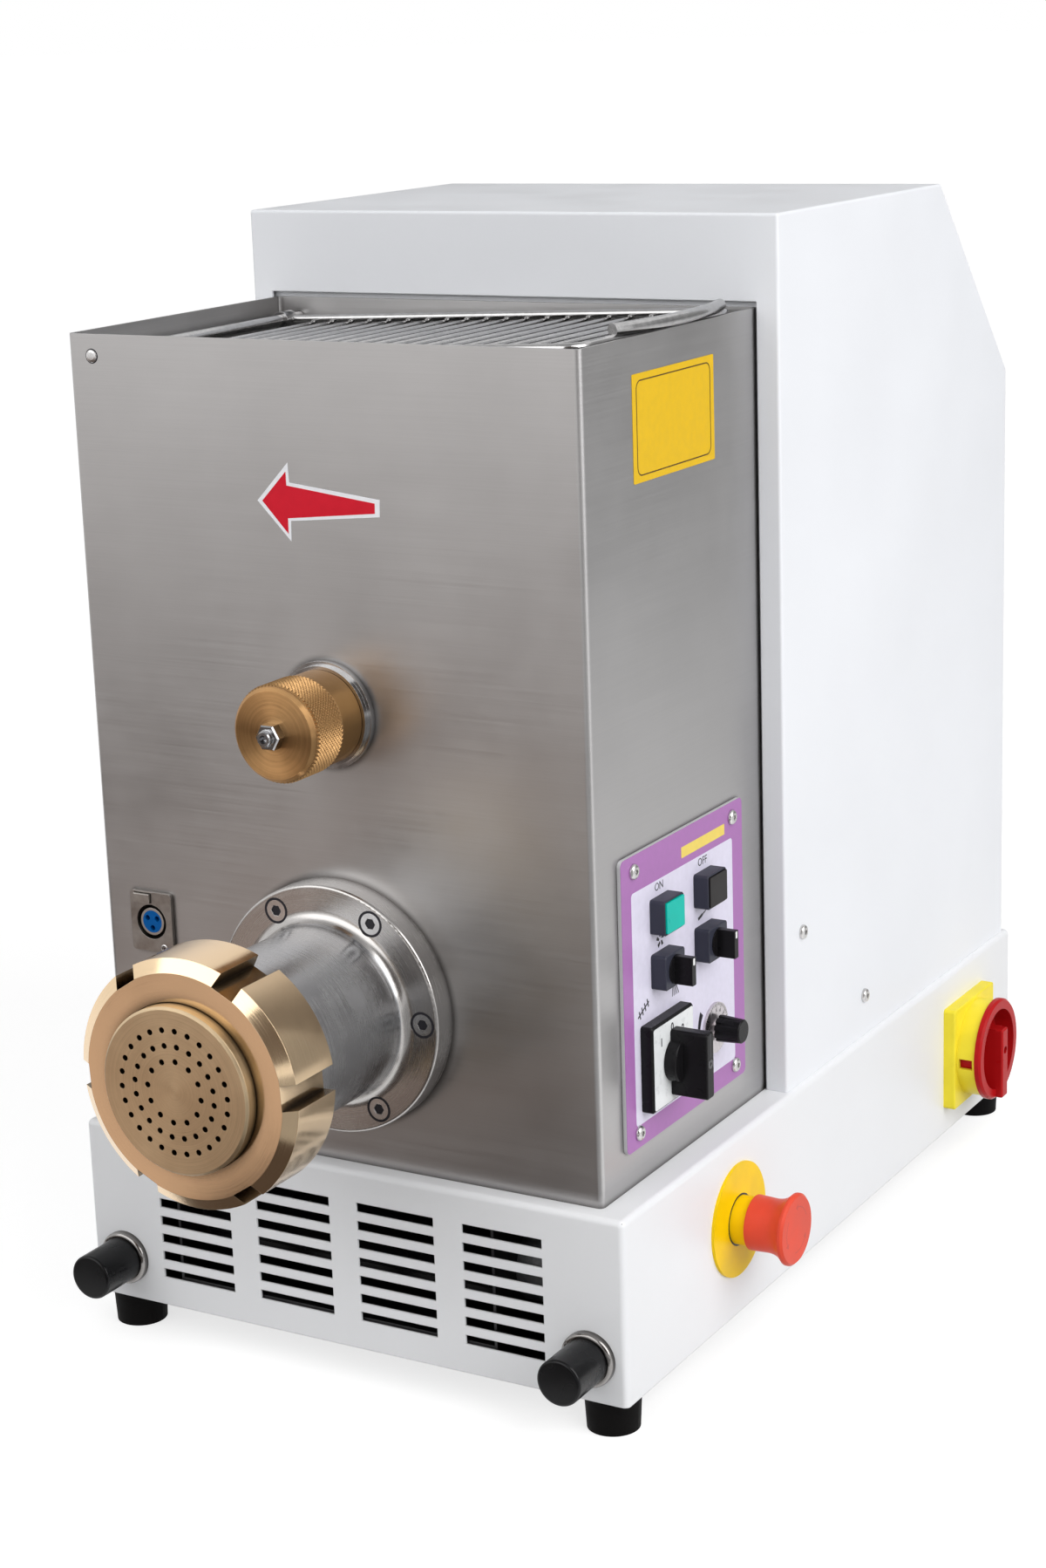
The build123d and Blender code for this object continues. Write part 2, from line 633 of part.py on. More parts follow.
# Hopper shell: folded stainless box, open above and below
with BuildPart() as hopper_shell:
    with BuildSketch(Plane.XY.offset(BASE_TOP)):
        with Locations((0, HOPPER_FRONT + HOPPER_D / 2)):
            RectangleRounded(HOPPER_W, HOPPER_D, HOPPER_EDGE_R)
            RectangleRounded(
                HOPPER_W - 2 * STEEL_SHEET,
                HOPPER_D - 2 * STEEL_SHEET,
                HOPPER_EDGE_R - STEEL_SHEET,
                mode=Mode.SUBTRACT,
            )
    extrude(amount=HOPPER_H)
    with BuildSketch(front_plane(HOPPER_FRONT)):
        with Locations((0, AUGER_Z)):
            Circle(SPIGOT_R + SEAT_FIT)
            with PolarLocations(FLANGE_SCREW_PCD / 2, FLANGE_SCREWS):
                Circle(CAP_SHANK_R + SEAT_FIT)
        with Locations((0, MIXER_Z)):
            Circle(COLLAR_NECK_R + SEAT_FIT)
        with Locations((LID_X, LID_Z)):
            Circle(LID_ROD_R + RUN_FIT)
        with Locations((CONNECTOR_X, CONNECTOR_Z)):
            Circle(CONNECTOR_BARREL_R + SEAT_FIT)
    extrude(amount=-2 * STEEL_SHEET, mode=Mode.SUBTRACT)
    with BuildSketch(front_plane(HOPPER_BACK)):
        with Locations((0, AUGER_Z), (0, MIXER_Z)):
            Circle(SHAFT_R + BODY_GAP)
        with Locations((LID_X, LID_Z)):
            Circle(LID_ROD_R + RUN_FIT)
    extrude(amount=2 * STEEL_SHEET, mode=Mode.SUBTRACT)
    with BuildSketch(side_plane(HOPPER_RIGHT)):
        panel_holes()
    extrude(amount=-2 * STEEL_SHEET, mode=Mode.SUBTRACT)
save(hopper_shell, "hopper_shell")


def trough_section(grow):
    """The mixing trough's inside, made larger all round, in the sketch that is open."""
    flare_half = HOPPER_RIGHT - HOPPER_EDGE_R - TROUGH_SIDE_GAP - TROUGH_T
    straight_top = MIXER_Z + TROUGH_STRAIGHT
    flare_top = straight_top + TROUGH_FLARE
    with Locations((0, MIXER_Z)):
        Circle(TROUGH_R + grow)
    with Locations((0, AUGER_Z)):
        Circle(CHANNEL_R + grow)
    with Locations((0, (AUGER_Z + MIXER_Z) / 2)):
        Rectangle(2 * (CHANNEL_R + grow), MIXER_Z - AUGER_Z)
    outline(
        (
            (-TROUGH_R - grow, MIXER_Z),
            (TROUGH_R + grow, MIXER_Z),
            (TROUGH_R + grow, straight_top),
            (flare_half + grow, flare_top),
            (-flare_half - grow, flare_top),
            (-TROUGH_R - grow, straight_top),
        )
    )


# Mixing trough: the hopper's liner, round under the mixer, with a channel for the auger below
with BuildPart() as mixing_trough:
    with BuildSketch(front_plane(INNER_BACK)):
        trough_section(TROUGH_T)
    extrude(amount=HOPPER_D - 2 * STEEL_SHEET)
    with BuildSketch(front_plane(INNER_BACK)):
        trough_section(0)
    extrude(amount=HOPPER_D - 2 * STEEL_SHEET, mode=Mode.SUBTRACT)
save(mixing_trough, "mixing_trough")


def housing_side(inset):
    """The housing's side outline, drawn in by the sheet, in the sketch that is open."""
    low = BASE_TOP - (2 * inset)
    rise = HOUSING_SLOPE_H
    run = HOUSING_D - HOUSING_TOP_D
    slope_shift = inset * math.tan(math.atan2(rise, run) / 2)
    back_shift = inset * math.tan(math.atan2(run, rise) / 2)
    outline(
        (
            (HOUSING_FRONT + inset, low),
            (HOUSING_FRONT + inset, HOUSING_TOP - inset),
            (HOUSING_FRONT + HOUSING_TOP_D - slope_shift, HOUSING_TOP - inset),
            (HOUSING_BACK - inset, HOUSING_TOP - HOUSING_SLOPE_H - back_shift),
            (HOUSING_BACK - inset, low),
        )
    )


# Rear housing: painted hood with a sloping back, open towards the hopper and behind the back panel
with BuildPart() as rear_housing:
    with BuildSketch(Plane.YZ):
        housing_side(0)
    extrude(amount=HOUSING_W / 2, both=True)
    hood_edges = rear_housing.edges().filter_by(lambda e: e.center().Z > BASE_TOP + HOUSING_EDGE_R)
    fillet(hood_edges, HOUSING_EDGE_R)
    with BuildSketch(Plane.YZ):
        housing_side(PAINT_SHEET)
    extrude(amount=HOUSING_W / 2 - PAINT_SHEET, both=True, mode=Mode.SUBTRACT)
    with BuildSketch(front_plane(HOUSING_FRONT)):
        opening_h = HOPPER_H + OPENING_TOP
        with Locations((0, BASE_TOP + opening_h / 2)):
            Rectangle(HOPPER_W + 2 * OPENING_SIDE, opening_h)
    extrude(amount=-2 * PAINT_SHEET, mode=Mode.SUBTRACT)
    with BuildSketch(front_plane(HOUSING_BACK)):
        with Locations((0, BACK_PANEL_Z)):
            Rectangle(BACK_PANEL_W - 2 * BACK_PANEL_LAP, BACK_PANEL_H - 2 * BACK_PANEL_LAP)
        back_screw_holes()
    extrude(amount=2 * PAINT_SHEET, mode=Mode.SUBTRACT)
    with BuildSketch(Plane.YZ):
        for screw_back, screw_up in HOUSING_SCREWS:
            with Locations((HOUSING_FRONT + screw_back, BASE_TOP + screw_up)):
                Circle(DOME_SHANK_R + SEAT_FIT)
    extrude(amount=HOUSING_W, both=True, mode=Mode.SUBTRACT)
save(rear_housing, "rear_housing")

# Back panel: screwed-on service cover with louvre slots
with BuildPart() as back_panel:
    with BuildSketch(front_plane(HOUSING_BACK)):
        with Locations((0, BACK_PANEL_Z)):
            RectangleRounded(BACK_PANEL_W, BACK_PANEL_H, BACK_PANEL_LAP / 2)
    extrude(amount=-STEEL_SHEET)
    with BuildSketch(front_plane(HOUSING_BACK)):
        with Locations((0, BACK_PANEL_Z)):
            with GridLocations(0, BACK_SLOT_PITCH, 1, BACK_SLOTS):
                SlotOverall(BACK_SLOT_W, BACK_SLOT_H)
        back_screw_holes()
    extrude(amount=-STEEL_SHEET, mode=Mode.SUBTRACT)
save(back_panel, "back_panel")

# Bulkhead: plate that closes the housing behind the hopper and carries the front bearings
with BuildPart() as bulkhead:
    with BuildSketch(front_plane(HOPPER_BACK)):
        with Locations((0, BASE_TOP + BULKHEAD_H / 2)):
            Rectangle(HOUSING_W - 2 * PAINT_SHEET - 2 * BULKHEAD_MARGIN, BULKHEAD_H)
        with Locations((0, AUGER_Z), (0, MIXER_Z)):
            Circle(BEARING_R + SEAT_FIT, mode=Mode.SUBTRACT)
        with Locations((LID_X, LID_Z)):
            Circle(LID_ROD_R + RUN_FIT, mode=Mode.SUBTRACT)
    extrude(amount=-BULKHEAD_T)
save(bulkhead, "bulkhead")

# Motor plate: rear bearing plate, with the gearbox bolted to its back
with BuildPart() as motor_plate:
    with BuildSketch(front_plane(MOTOR_PLATE_FRONT)):
        with Locations((0, BASE_TOP + MOTOR_PLATE_H / 2)):
            Rectangle(MOTOR_PLATE_W, MOTOR_PLATE_H)
        with Locations((0, AUGER_Z), (0, MIXER_Z)):
            Circle(BEARING_R + SEAT_FIT, mode=Mode.SUBTRACT)
        with Locations((MOTOR_X, MOTOR_Z)):
            Circle(GEARBOX_HOLE_R, mode=Mode.SUBTRACT)
    extrude(amount=-MOTOR_PLATE_T)
save(motor_plate, "motor_plate")

# Standoffs: pillars that hold the motor plate off the bulkhead
with BuildPart() as standoffs:
    with BuildSketch(front_plane(BULKHEAD_BACK)):
        with Locations((0, BASE_TOP + STANDOFF_INSET + STANDOFF_SPREAD / 2)):
            spread_x = MOTOR_PLATE_W - 2 * STANDOFF_INSET
            with GridLocations(spread_x, STANDOFF_SPREAD, 2, 2):
                RegularPolygon(STANDOFF_R, HEX_SIDES)
    extrude(amount=BULKHEAD_BACK - MOTOR_PLATE_FRONT)
save(standoffs, "standoffs")

# Shaft bearings: two in the bulkhead and two in the motor plate
with BuildPart() as shaft_bearings:
    with BuildSketch(front_plane(HOPPER_BACK)):
        with Locations((0, AUGER_Z), (0, MIXER_Z)):
            Circle(BEARING_R)
            Circle(SHAFT_R + RUN_FIT, mode=Mode.SUBTRACT)
    extrude(amount=-BEARING_W)
    with BuildSketch(front_plane(MOTOR_PLATE_BACK)):
        with Locations((0, AUGER_Z), (0, MIXER_Z)):
            Circle(BEARING_R)
            Circle(SHAFT_R + RUN_FIT, mode=Mode.SUBTRACT)
    extrude(amount=BEARING_W)
save(shaft_bearings, "shaft_bearings")


def involute_point(base_r, radius, turn):
    """A point of an involute at a radius, its start turned by an angle in radians."""
    roll = math.sqrt((radius / base_r) ** 2 - 1)
    angle = turn + roll - math.atan(roll)
    return (radius * math.cos(angle), radius * math.sin(angle))


def gear_tooth(teeth):
    """One involute tooth of a spur gear, centred on the X axis."""
    pitch_r = GEAR_MODULE * teeth / 2
    base_r = pitch_r * math.cos(math.radians(PRESSURE_ANGLE))
    tip_r = pitch_r + TOOTH_ADDENDUM * GEAR_MODULE
    root_r = pitch_r - TOOTH_DEDENDUM * GEAR_MODULE
    foot_r = max(base_r, root_r)
    mid_r = (foot_r + tip_r) / 2
    pressure = math.radians(PRESSURE_ANGLE)
    half_tooth = (math.pi * GEAR_MODULE / 2 - BACKLASH) / (2 * pitch_r)
    turn = -half_tooth - (math.tan(pressure) - pressure)
    lower = [involute_point(base_r, r, turn) for r in (foot_r, mid_r, tip_r)]
    upper = [(x, -y) for x, y in lower]
    inside_r = root_r - GEAR_MODULE / 2
    inside_x = inside_r * math.cos(turn)
    inside_y = inside_r * math.sin(turn)
    with BuildSketch() as tooth:
        with BuildLine():
            ThreePointArc(*lower)
            ThreePointArc(lower[2], (tip_r, 0), upper[2])
            ThreePointArc(upper[2], upper[1], upper[0])
            Polyline(upper[0], (inside_x, -inside_y), (inside_x, inside_y), lower[0])
        make_face()
    return tooth.sketch


def gear_face(tooth, teeth, first_tooth):
    """A spur gear's face with one tooth centred on first_tooth in degrees, in the open sketch."""
    Circle(GEAR_MODULE * (teeth / 2 - TOOTH_DEDENDUM))
    with PolarLocations(0, teeth, start_angle=first_tooth):
        add(tooth)


def meshed_tooth(direction, driver_teeth, driver_tooth, teeth):
    """The angle of a tooth that meshes with a driver's teeth, seen from the driver along direction."""
    lead = driver_tooth - direction
    return direction + 180 + 180 / teeth - lead * driver_teeth / teeth


AUGER_TOOTH = 90.0
MIXER_TOOTH = meshed_tooth(90.0, AUGER_TEETH, AUGER_TOOTH, MIXER_TEETH)
PINION_TOOTH = meshed_tooth(MOTOR_ANGLE, MIXER_TEETH, MIXER_TOOTH, PINION_TEETH)


def spur_gear(teeth, first_tooth, z):
    """A webbed spur gear on one of the main shafts."""
    tooth = gear_tooth(teeth)
    pitch_r = GEAR_MODULE * teeth / 2
    rim_r = pitch_r - TOOTH_DEDENDUM * GEAR_MODULE - GEAR_RIM
    gear_plane = Plane((0, GEAR_BACK, z), x_dir=(1, 0, 0), z_dir=(0, -1, 0))
    side_depth = (GEAR_W - GEAR_WEB) / 2
    with BuildPart() as gear:
        with BuildSketch(gear_plane):
            gear_face(tooth, teeth, first_tooth)
            Circle(SHAFT_R + SEAT_FIT, mode=Mode.SUBTRACT)
        extrude(amount=GEAR_W)
        with BuildSketch(gear_plane):
            Circle(rim_r)
            Circle(GEAR_HUB_R, mode=Mode.SUBTRACT)
        extrude(amount=side_depth, mode=Mode.SUBTRACT)
        with BuildSketch(gear_plane.offset(GEAR_W)):
            Circle(rim_r)
            Circle(GEAR_HUB_R, mode=Mode.SUBTRACT)
        extrude(amount=-side_depth, mode=Mode.SUBTRACT)
    return gear


# Auger gear: the large gear behind the bulkhead
auger_gear = spur_gear(AUGER_TEETH, AUGER_TOOTH, AUGER_Z)
save(auger_gear, "auger_gear")

# Mixer gear: meshes with the auger gear from above
mixer_gear = spur_gear(MIXER_TEETH, MIXER_TOOTH, MIXER_Z)
save(mixer_gear, "mixer_gear")

# Pinion: cut on the gearbox's output shaft
pinion_tooth = gear_tooth(PINION_TEETH)
with BuildPart() as pinion:
    pinion_plane = Plane((MOTOR_X, GEAR_BACK, MOTOR_Z), x_dir=(1, 0, 0), z_dir=(0, -1, 0))
    with BuildSketch(pinion_plane):
        gear_face(pinion_tooth, PINION_TEETH, PINION_TOOTH)
    extrude(amount=GEAR_W)
    with BuildSketch(pinion_plane):
        Circle(PINION_SHAFT_R)
    extrude(amount=GEAR_BACK - MOTOR_PLATE_BACK - PINION_SHAFT_IN)
save(pinion, "pinion")

# Gearbox: flanged reduction unit behind the motor plate
with BuildPart() as gearbox:
    with BuildSketch(front_plane(MOTOR_PLATE_BACK)):
        with Locations((MOTOR_X, MOTOR_Z)):
            RectangleRounded(GEARBOX_FLANGE, GEARBOX_FLANGE, GEARBOX_FLANGE_T)
    extrude(amount=-GEARBOX_FLANGE_T)
    with BuildSketch(front_plane(MOTOR_PLATE_BACK)):
        with Locations((MOTOR_X, MOTOR_Z)):
            Circle(GEARBOX_R)
    extrude(amount=-GEARBOX_L)
    with BuildSketch(front_plane(MOTOR_PLATE_BACK)):
        with Locations((MOTOR_X, MOTOR_Z)):
            Circle(PINION_SHAFT_R + RUN_FIT)
    extrude(amount=-PINION_SHAFT_IN - BODY_GAP, mode=Mode.SUBTRACT)
save(gearbox, "gearbox")

# Motor: finned barrel with its terminal box and fan cover
with BuildPart() as motor:
    motor_front = MOTOR_PLATE_BACK + GEARBOX_L
    with BuildSketch(front_plane(motor_front)):
        with Locations((MOTOR_X, MOTOR_Z)):
            Circle(MOTOR_R - MOTOR_FIN_H)
            with PolarLocations(MOTOR_R - MOTOR_FIN_H, MOTOR_FINS):
                Rectangle(2 * MOTOR_FIN_H, MOTOR_FIN_T)
    extrude(amount=-MOTOR_L)
    with BuildSketch(front_plane(motor_front + MOTOR_L)):
        with Locations((MOTOR_X, MOTOR_Z)):
            Circle(MOTOR_R)
    extrude(amount=-MOTOR_COVER_L)
    fillet(motor.edges().sort_by(Axis.Y)[-1], MOTOR_FIN_H)
    with BuildSketch(Plane.XY.offset(MOTOR_Z)):
        with Locations((MOTOR_X, motor_front + MOTOR_L / 2)):
            Rectangle(MOTOR_BOX, MOTOR_BOX)
    extrude(amount=MOTOR_R + MOTOR_BOX_H)
save(motor, "motor")

# Barrel: turned flange and tube, bolted to the hopper front
with BuildPart() as barrel:
    with BuildSketch(turning_plane(0, AUGER_Z)):
        outline(
            (
                (HOPPER_FRONT + STEEL_SHEET, BORE_R),
                (HOPPER_FRONT + STEEL_SHEET, SPIGOT_R),
                (HOPPER_FRONT, SPIGOT_R),
                (HOPPER_FRONT, FLANGE_R),
                (HOPPER_FRONT - FLANGE_T, FLANGE_R),
                (HOPPER_FRONT - FLANGE_T, TUBE_R),
                (BARREL_END, TUBE_R),
                (BARREL_END, BORE_R),
            )
        )
    revolve(axis=front_axis(0, AUGER_Z))
    flange_corner = barrel.edges().filter_by(GeomType.CIRCLE).filter_by(
        lambda e: abs(e.radius - TUBE_R) < SEAT_FIT
        and abs(e.arc_center.Y - HOPPER_FRONT + FLANGE_T) < SEAT_FIT
    )
    fillet(flange_corner, TUBE_FILLET)
    flange_rim = barrel.edges().filter_by(GeomType.CIRCLE).filter_by(
        lambda e: abs(e.radius - FLANGE_R) < SEAT_FIT
        and abs(e.arc_center.Y - HOPPER_FRONT + FLANGE_T) < SEAT_FIT
    )
    fillet(flange_rim, FLANGE_EDGE_R)
    with BuildSketch(front_plane(HOPPER_FRONT - FLANGE_T)):
        with Locations((0, AUGER_Z)):
            with PolarLocations(FLANGE_SCREW_PCD / 2, FLANGE_SCREWS):
                Circle(CAP_SHANK_R + SEAT_FIT)
    extrude(amount=-FLANGE_T, mode=Mode.SUBTRACT)
    with BuildSketch(front_plane(HOPPER_FRONT - FLANGE_T - TUBE_FILLET)):
        with Locations((0, AUGER_Z)):
            with PolarLocations(FLANGE_SCREW_PCD / 2, FLANGE_SCREWS):
                Circle(CAP_HEAD_R + COUNTERBORE_GAP)
    extrude(amount=-TUBE_FILLET - CAP_HEAD_H, mode=Mode.SUBTRACT)
save(barrel, "barrel")

# Barrel screws: socket-head screws sunk in the flange
with BuildPart() as barrel_screws:
    with BuildSketch(front_plane(HOPPER_FRONT - FLANGE_T + CAP_HEAD_H)):
        with Locations((0, AUGER_Z)):
            with PolarLocations(FLANGE_SCREW_PCD / 2, FLANGE_SCREWS):
                Circle(CAP_HEAD_R)
    extrude(amount=CAP_HEAD_H)
    with BuildSketch(front_plane(HOPPER_FRONT - FLANGE_T + CAP_HEAD_H)):
        with Locations((0, AUGER_Z)):
            with PolarLocations(FLANGE_SCREW_PCD / 2, FLANGE_SCREWS):
                Circle(CAP_SHANK_R)
    extrude(amount=CAP_HEAD_H - FLANGE_T - STEEL_SHEET)
    with BuildSketch(front_plane(HOPPER_FRONT - FLANGE_T)):
        with Locations((0, AUGER_Z)):
            with PolarLocations(FLANGE_SCREW_PCD / 2, FLANGE_SCREWS):
                RegularPolygon(CAP_SOCKET_AF / 2, HEX_SIDES, major_radius=False)
    extrude(amount=-CAP_SOCKET_D, mode=Mode.SUBTRACT)
save(barrel_screws, "barrel_screws")

# Die: bronze plate with a shoulder behind the nut's lip and a pattern of round holes
with BuildPart() as die:
    with BuildSketch(turning_plane(0, AUGER_Z)):
        outline(
            (
                (BARREL_END - REST_GAP, 0),
                (BARREL_END - REST_GAP, DIE_FLANGE_R),
                (DIE_SHOULDER, DIE_FLANGE_R),
                (DIE_SHOULDER, DIE_FACE_R),
                (DIE_FRONT + DIE_EDGE, DIE_FACE_R),
                (DIE_FRONT, DIE_FACE_R - DIE_EDGE),
                (DIE_FRONT, 0),
            )
        )
    revolve(axis=front_axis(0, AUGER_Z))
    with BuildSketch(front_plane(DIE_FRONT + DIE_PLATE_T)):
        with Locations((0, AUGER_Z)):
            Circle(DIE_POCKET_R)
    extrude(amount=DIE_FRONT + DIE_PLATE_T - BARREL_END, mode=Mode.SUBTRACT)
    with BuildSketch(front_plane(DIE_FRONT)):
        with Locations((0, AUGER_Z)):
            for ring_r, ring_holes, ring_angle in DIE_RINGS:
                with PolarLocations(ring_r, ring_holes, start_angle=ring_angle):
                    Circle(DIE_HOLE_R)
    extrude(amount=-DIE_PLATE_T, mode=Mode.SUBTRACT)
save(die, "die")

# Ring nut: brass nut that screws over the barrel and holds the die, with notches for a hook spanner
with BuildPart() as ring_nut:
    with BuildSketch(turning_plane(0, AUGER_Z)):
        outline(
            (
                (NUT_BACK, TUBE_R + SLIDE_FIT),
                (NUT_BACK, NUT_R),
                (NUT_FRONT + NUT_CHAMFER_L, NUT_R),
                (NUT_FRONT, NUT_R - NUT_CHAMFER_R),
                (NUT_FRONT, DIE_FACE_R + SLIDE_FIT),
                (NUT_FRONT + NUT_LIP, DIE_FACE_R + SLIDE_FIT),
                (NUT_FRONT + NUT_LIP, TUBE_R + SLIDE_FIT),
            )
        )
    revolve(axis=front_axis(0, AUGER_Z))
    with BuildSketch(front_plane(NUT_BACK)):
        with Locations((0, AUGER_Z)):
            with PolarLocations(NUT_R, NUT_NOTCHES, start_angle=NUT_NOTCH_ANGLE):
                Rectangle(2 * NUT_NOTCH_D, NUT_NOTCH_W)
    extrude(amount=NUT_L, mode=Mode.SUBTRACT)
save(ring_nut, "ring_nut")

# Auger: shaft with one helical flight, running from the back bearings to the die
AUGER_FRONT = BARREL_END - REST_GAP + AUGER_TIP_GAP
FLIGHT_BACK = INNER_BACK - AUGER_BACK_GAP
FLIGHT_L = FLIGHT_BACK - AUGER_FRONT - AUGER_TIP_L - AUGER_FLIGHT_T
with BuildPart() as auger:
    with BuildSketch(turning_plane(0, AUGER_Z)):
        outline(
            (
                (MOTOR_PLATE_BACK, 0),
                (MOTOR_PLATE_BACK, SHAFT_R),
                (HOPPER_BACK, SHAFT_R),
                (HOPPER_BACK, AUGER_CORE_R),
                (AUGER_FRONT + AUGER_TIP_L, AUGER_CORE_R),
                (AUGER_FRONT, AUGER_TIP_R),
                (AUGER_FRONT, 0),
            )
        )
    revolve(axis=front_axis(0, AUGER_Z))
    flight_mid = (AUGER_R + AUGER_CORE_R - BODY_GAP) / 2
    flight_start = (0, FLIGHT_BACK - AUGER_FLIGHT_T / 2, AUGER_Z)
    with BuildLine():
        Helix(AUGER_PITCH, FLIGHT_L, flight_mid, center=flight_start, direction=(0, -1, 0))
    with BuildSketch(Plane(flight_start, x_dir=(0, 0, -1), z_dir=(1, 0, 0))):
        with Locations((flight_mid, 0)):
            Rectangle(AUGER_R - AUGER_CORE_R + BODY_GAP, AUGER_FLIGHT_T)
    sweep(is_frenet=True)
save(auger, "auger")

# Mixer shaft: carried by the pin in front and the bearings behind, with twisted paddles
with BuildPart() as mixer_shaft:
    with BuildSketch(turning_plane(0, MIXER_Z)):
        outline(
            (
                (MOTOR_PLATE_BACK, 0),
                (MOTOR_PLATE_BACK, SHAFT_R),
                (INNER_BACK - BODY_GAP, SHAFT_R),
                (INNER_BACK - BODY_GAP, MIXER_SHAFT_R),
                (MIXER_FRONT, MIXER_SHAFT_R),
                (MIXER_FRONT, 0),
            )
        )
    revolve(axis=front_axis(0, MIXER_Z))
    paddle_room = INNER_BACK - MIXER_FRONT - PADDLE_W
    for arm in range(PADDLE_ARMS):
        arm_y = MIXER_FRONT + PADDLE_W / 2 + paddle_room * arm / (PADDLE_ARMS - 1)
        arm_turn = math.radians(PADDLE_STEP * arm)
        arm_dir = (math.cos(arm_turn), 0, math.sin(arm_turn))
        arm_plane = Plane((0, arm_y, MIXER_Z), x_dir=(0, 1, 0), z_dir=arm_dir)
        with BuildSketch(arm_plane.offset(MIXER_SHAFT_R - PADDLE_ARM_R)):
            Circle(PADDLE_ARM_R)
        extrude(amount=PADDLE_REACH - PADDLE_H - MIXER_SHAFT_R + 2 * PADDLE_ARM_R)
        with BuildSketch(arm_plane.offset(PADDLE_REACH - PADDLE_H)):
            Rectangle(PADDLE_W, PADDLE_T, rotation=PADDLE_TWIST)
        extrude(amount=PADDLE_H)
    with BuildSketch(front_plane(MIXER_FRONT)):
        with Locations((0, MIXER_Z)):
            Circle(PIN_R + RUN_FIT)
    extrude(amount=-PIN_GRIP - BODY_GAP, mode=Mode.SUBTRACT)
save(mixer_shaft, "mixer_shaft")

# Knob collar: stepped ring and neck in the hopper front that guide the shaft pin
with BuildPart() as knob_collar:
    with BuildSketch(turning_plane(0, MIXER_Z)):
        outline(
            (
                (HOPPER_FRONT + COLLAR_NECK_L, PIN_R + RUN_FIT),
                (HOPPER_FRONT + COLLAR_NECK_L, COLLAR_NECK_R),
                (HOPPER_FRONT, COLLAR_NECK_R),
                (HOPPER_FRONT, COLLAR_R),
                (HOPPER_FRONT - COLLAR_T, COLLAR_R),
                (HOPPER_FRONT - COLLAR_T, COLLAR_STEP_R),
                (COLLAR_FRONT, COLLAR_STEP_R),
                (COLLAR_FRONT, PIN_R + RUN_FIT),
            )
        )
    revolve(axis=front_axis(0, MIXER_Z))
save(knob_collar, "knob_collar")

# Shaft pin: carries the front end of the mixer shaft
PIN_FRONT = KNOB_FRONT + KNOB_FACE_T + REST_GAP
with BuildPart() as shaft_pin:
    with BuildSketch(front_plane(MIXER_FRONT + PIN_GRIP)):
        with Locations((0, MIXER_Z)):
            Circle(PIN_R)
    extrude(amount=MIXER_FRONT + PIN_GRIP - PIN_FRONT)
    chamfer(shaft_pin.edges(), BODY_GAP)
save(shaft_pin, "shaft_pin")

# Knurled knob: brass cup over the pin, with a raised grip band
with BuildPart() as knurled_knob:
    grip_front = KNOB_FRONT + KNURL_FRONT
    grip_back = grip_front + KNURL_L
    with BuildSketch(turning_plane(0, MIXER_Z)):
        outline(
            (
                (KNOB_FRONT, NIPPLE_STEM_R + SEAT_FIT),
                (KNOB_FRONT, KNOB_R - KNOB_CHAMFER),
                (KNOB_FRONT + KNOB_CHAMFER, KNOB_R),
                (grip_front, KNOB_R),
                (grip_front + KNURL_H, KNOB_R + KNURL_H),
                (grip_back - KNURL_H, KNOB_R + KNURL_H),
                (grip_back, KNOB_R),
                (KNOB_BACK, KNOB_R),
                (KNOB_BACK, PIN_R + RUN_FIT),
                (KNOB_FRONT + KNOB_FACE_T, PIN_R + RUN_FIT),
                (KNOB_FRONT + KNOB_FACE_T, NIPPLE_STEM_R + SEAT_FIT),
            )
        )
    revolve(axis=front_axis(0, MIXER_Z))
save(knurled_knob, "knurled_knob")

# Grease nipple: hexagon and nose at the middle of the knob
with BuildPart() as grease_nipple:
    hex_front = KNOB_FRONT - NIPPLE_HEX_T
    with BuildSketch(front_plane(KNOB_FRONT)):
        with Locations((0, MIXER_Z)):
            RegularPolygon(NIPPLE_AF / 2, HEX_SIDES, major_radius=False)
    extrude(amount=NIPPLE_HEX_T)
    with BuildSketch(turning_plane(0, MIXER_Z)):
        outline(
            (
                (KNOB_FRONT + NIPPLE_STEM_L, 0),
                (KNOB_FRONT + NIPPLE_STEM_L, NIPPLE_STEM_R),
                (hex_front, NIPPLE_STEM_R),
                (hex_front - NIPPLE_L / 3, NIPPLE_NECK_R),
                (hex_front - NIPPLE_L * 2 / 3, NIPPLE_HEAD_R),
                (hex_front - NIPPLE_L, NIPPLE_NECK_R),
                (hex_front - NIPPLE_L, 0),
            )
        )
    revolve(axis=front_axis(0, MIXER_Z))
    with BuildSketch(front_plane(hex_front - NIPPLE_L)):
        with Locations((0, MIXER_Z)):
            Circle(NIPPLE_BORE_R)
    extrude(amount=-NIPPLE_L, mode=Mode.SUBTRACT)
save(grease_nipple, "grease_nipple")

# Lid grille: welded rods, hinged on the hopper's left, with a bowed handle that rests on its right rim
LID_SIDE_X = HOPPER_RIGHT - LID_RIGHT_INSET
LID_HANDLE_Z = HOPPER_TOP + REST_GAP + LID_HANDLE_R
LID_REACH_X = LID_SIDE_X - LID_X
LID_REACH_Z = LID_HANDLE_Z - LID_HANDLE_R - LID_FRAME_R + LID_WELD - LID_Z
LID_SPAN = math.hypot(LID_REACH_X, LID_REACH_Z)
LID_SLOPE = (LID_REACH_X / LID_SPAN, 0, LID_REACH_Z / LID_SPAN)
LID_NORMAL = (-LID_REACH_Z / LID_SPAN, 0, LID_REACH_X / LID_SPAN)
LID_PLANE = Plane((LID_X, 0, LID_Z), x_dir=LID_SLOPE, z_dir=LID_NORMAL)
LID_BAR_SINK = LID_FRAME_R + LID_BAR_R - LID_WELD
LID_BAR_PITCH = (LID_SPAN - LID_BAR_FIRST - LID_BAR_LAST) / (LID_BARS - 1)
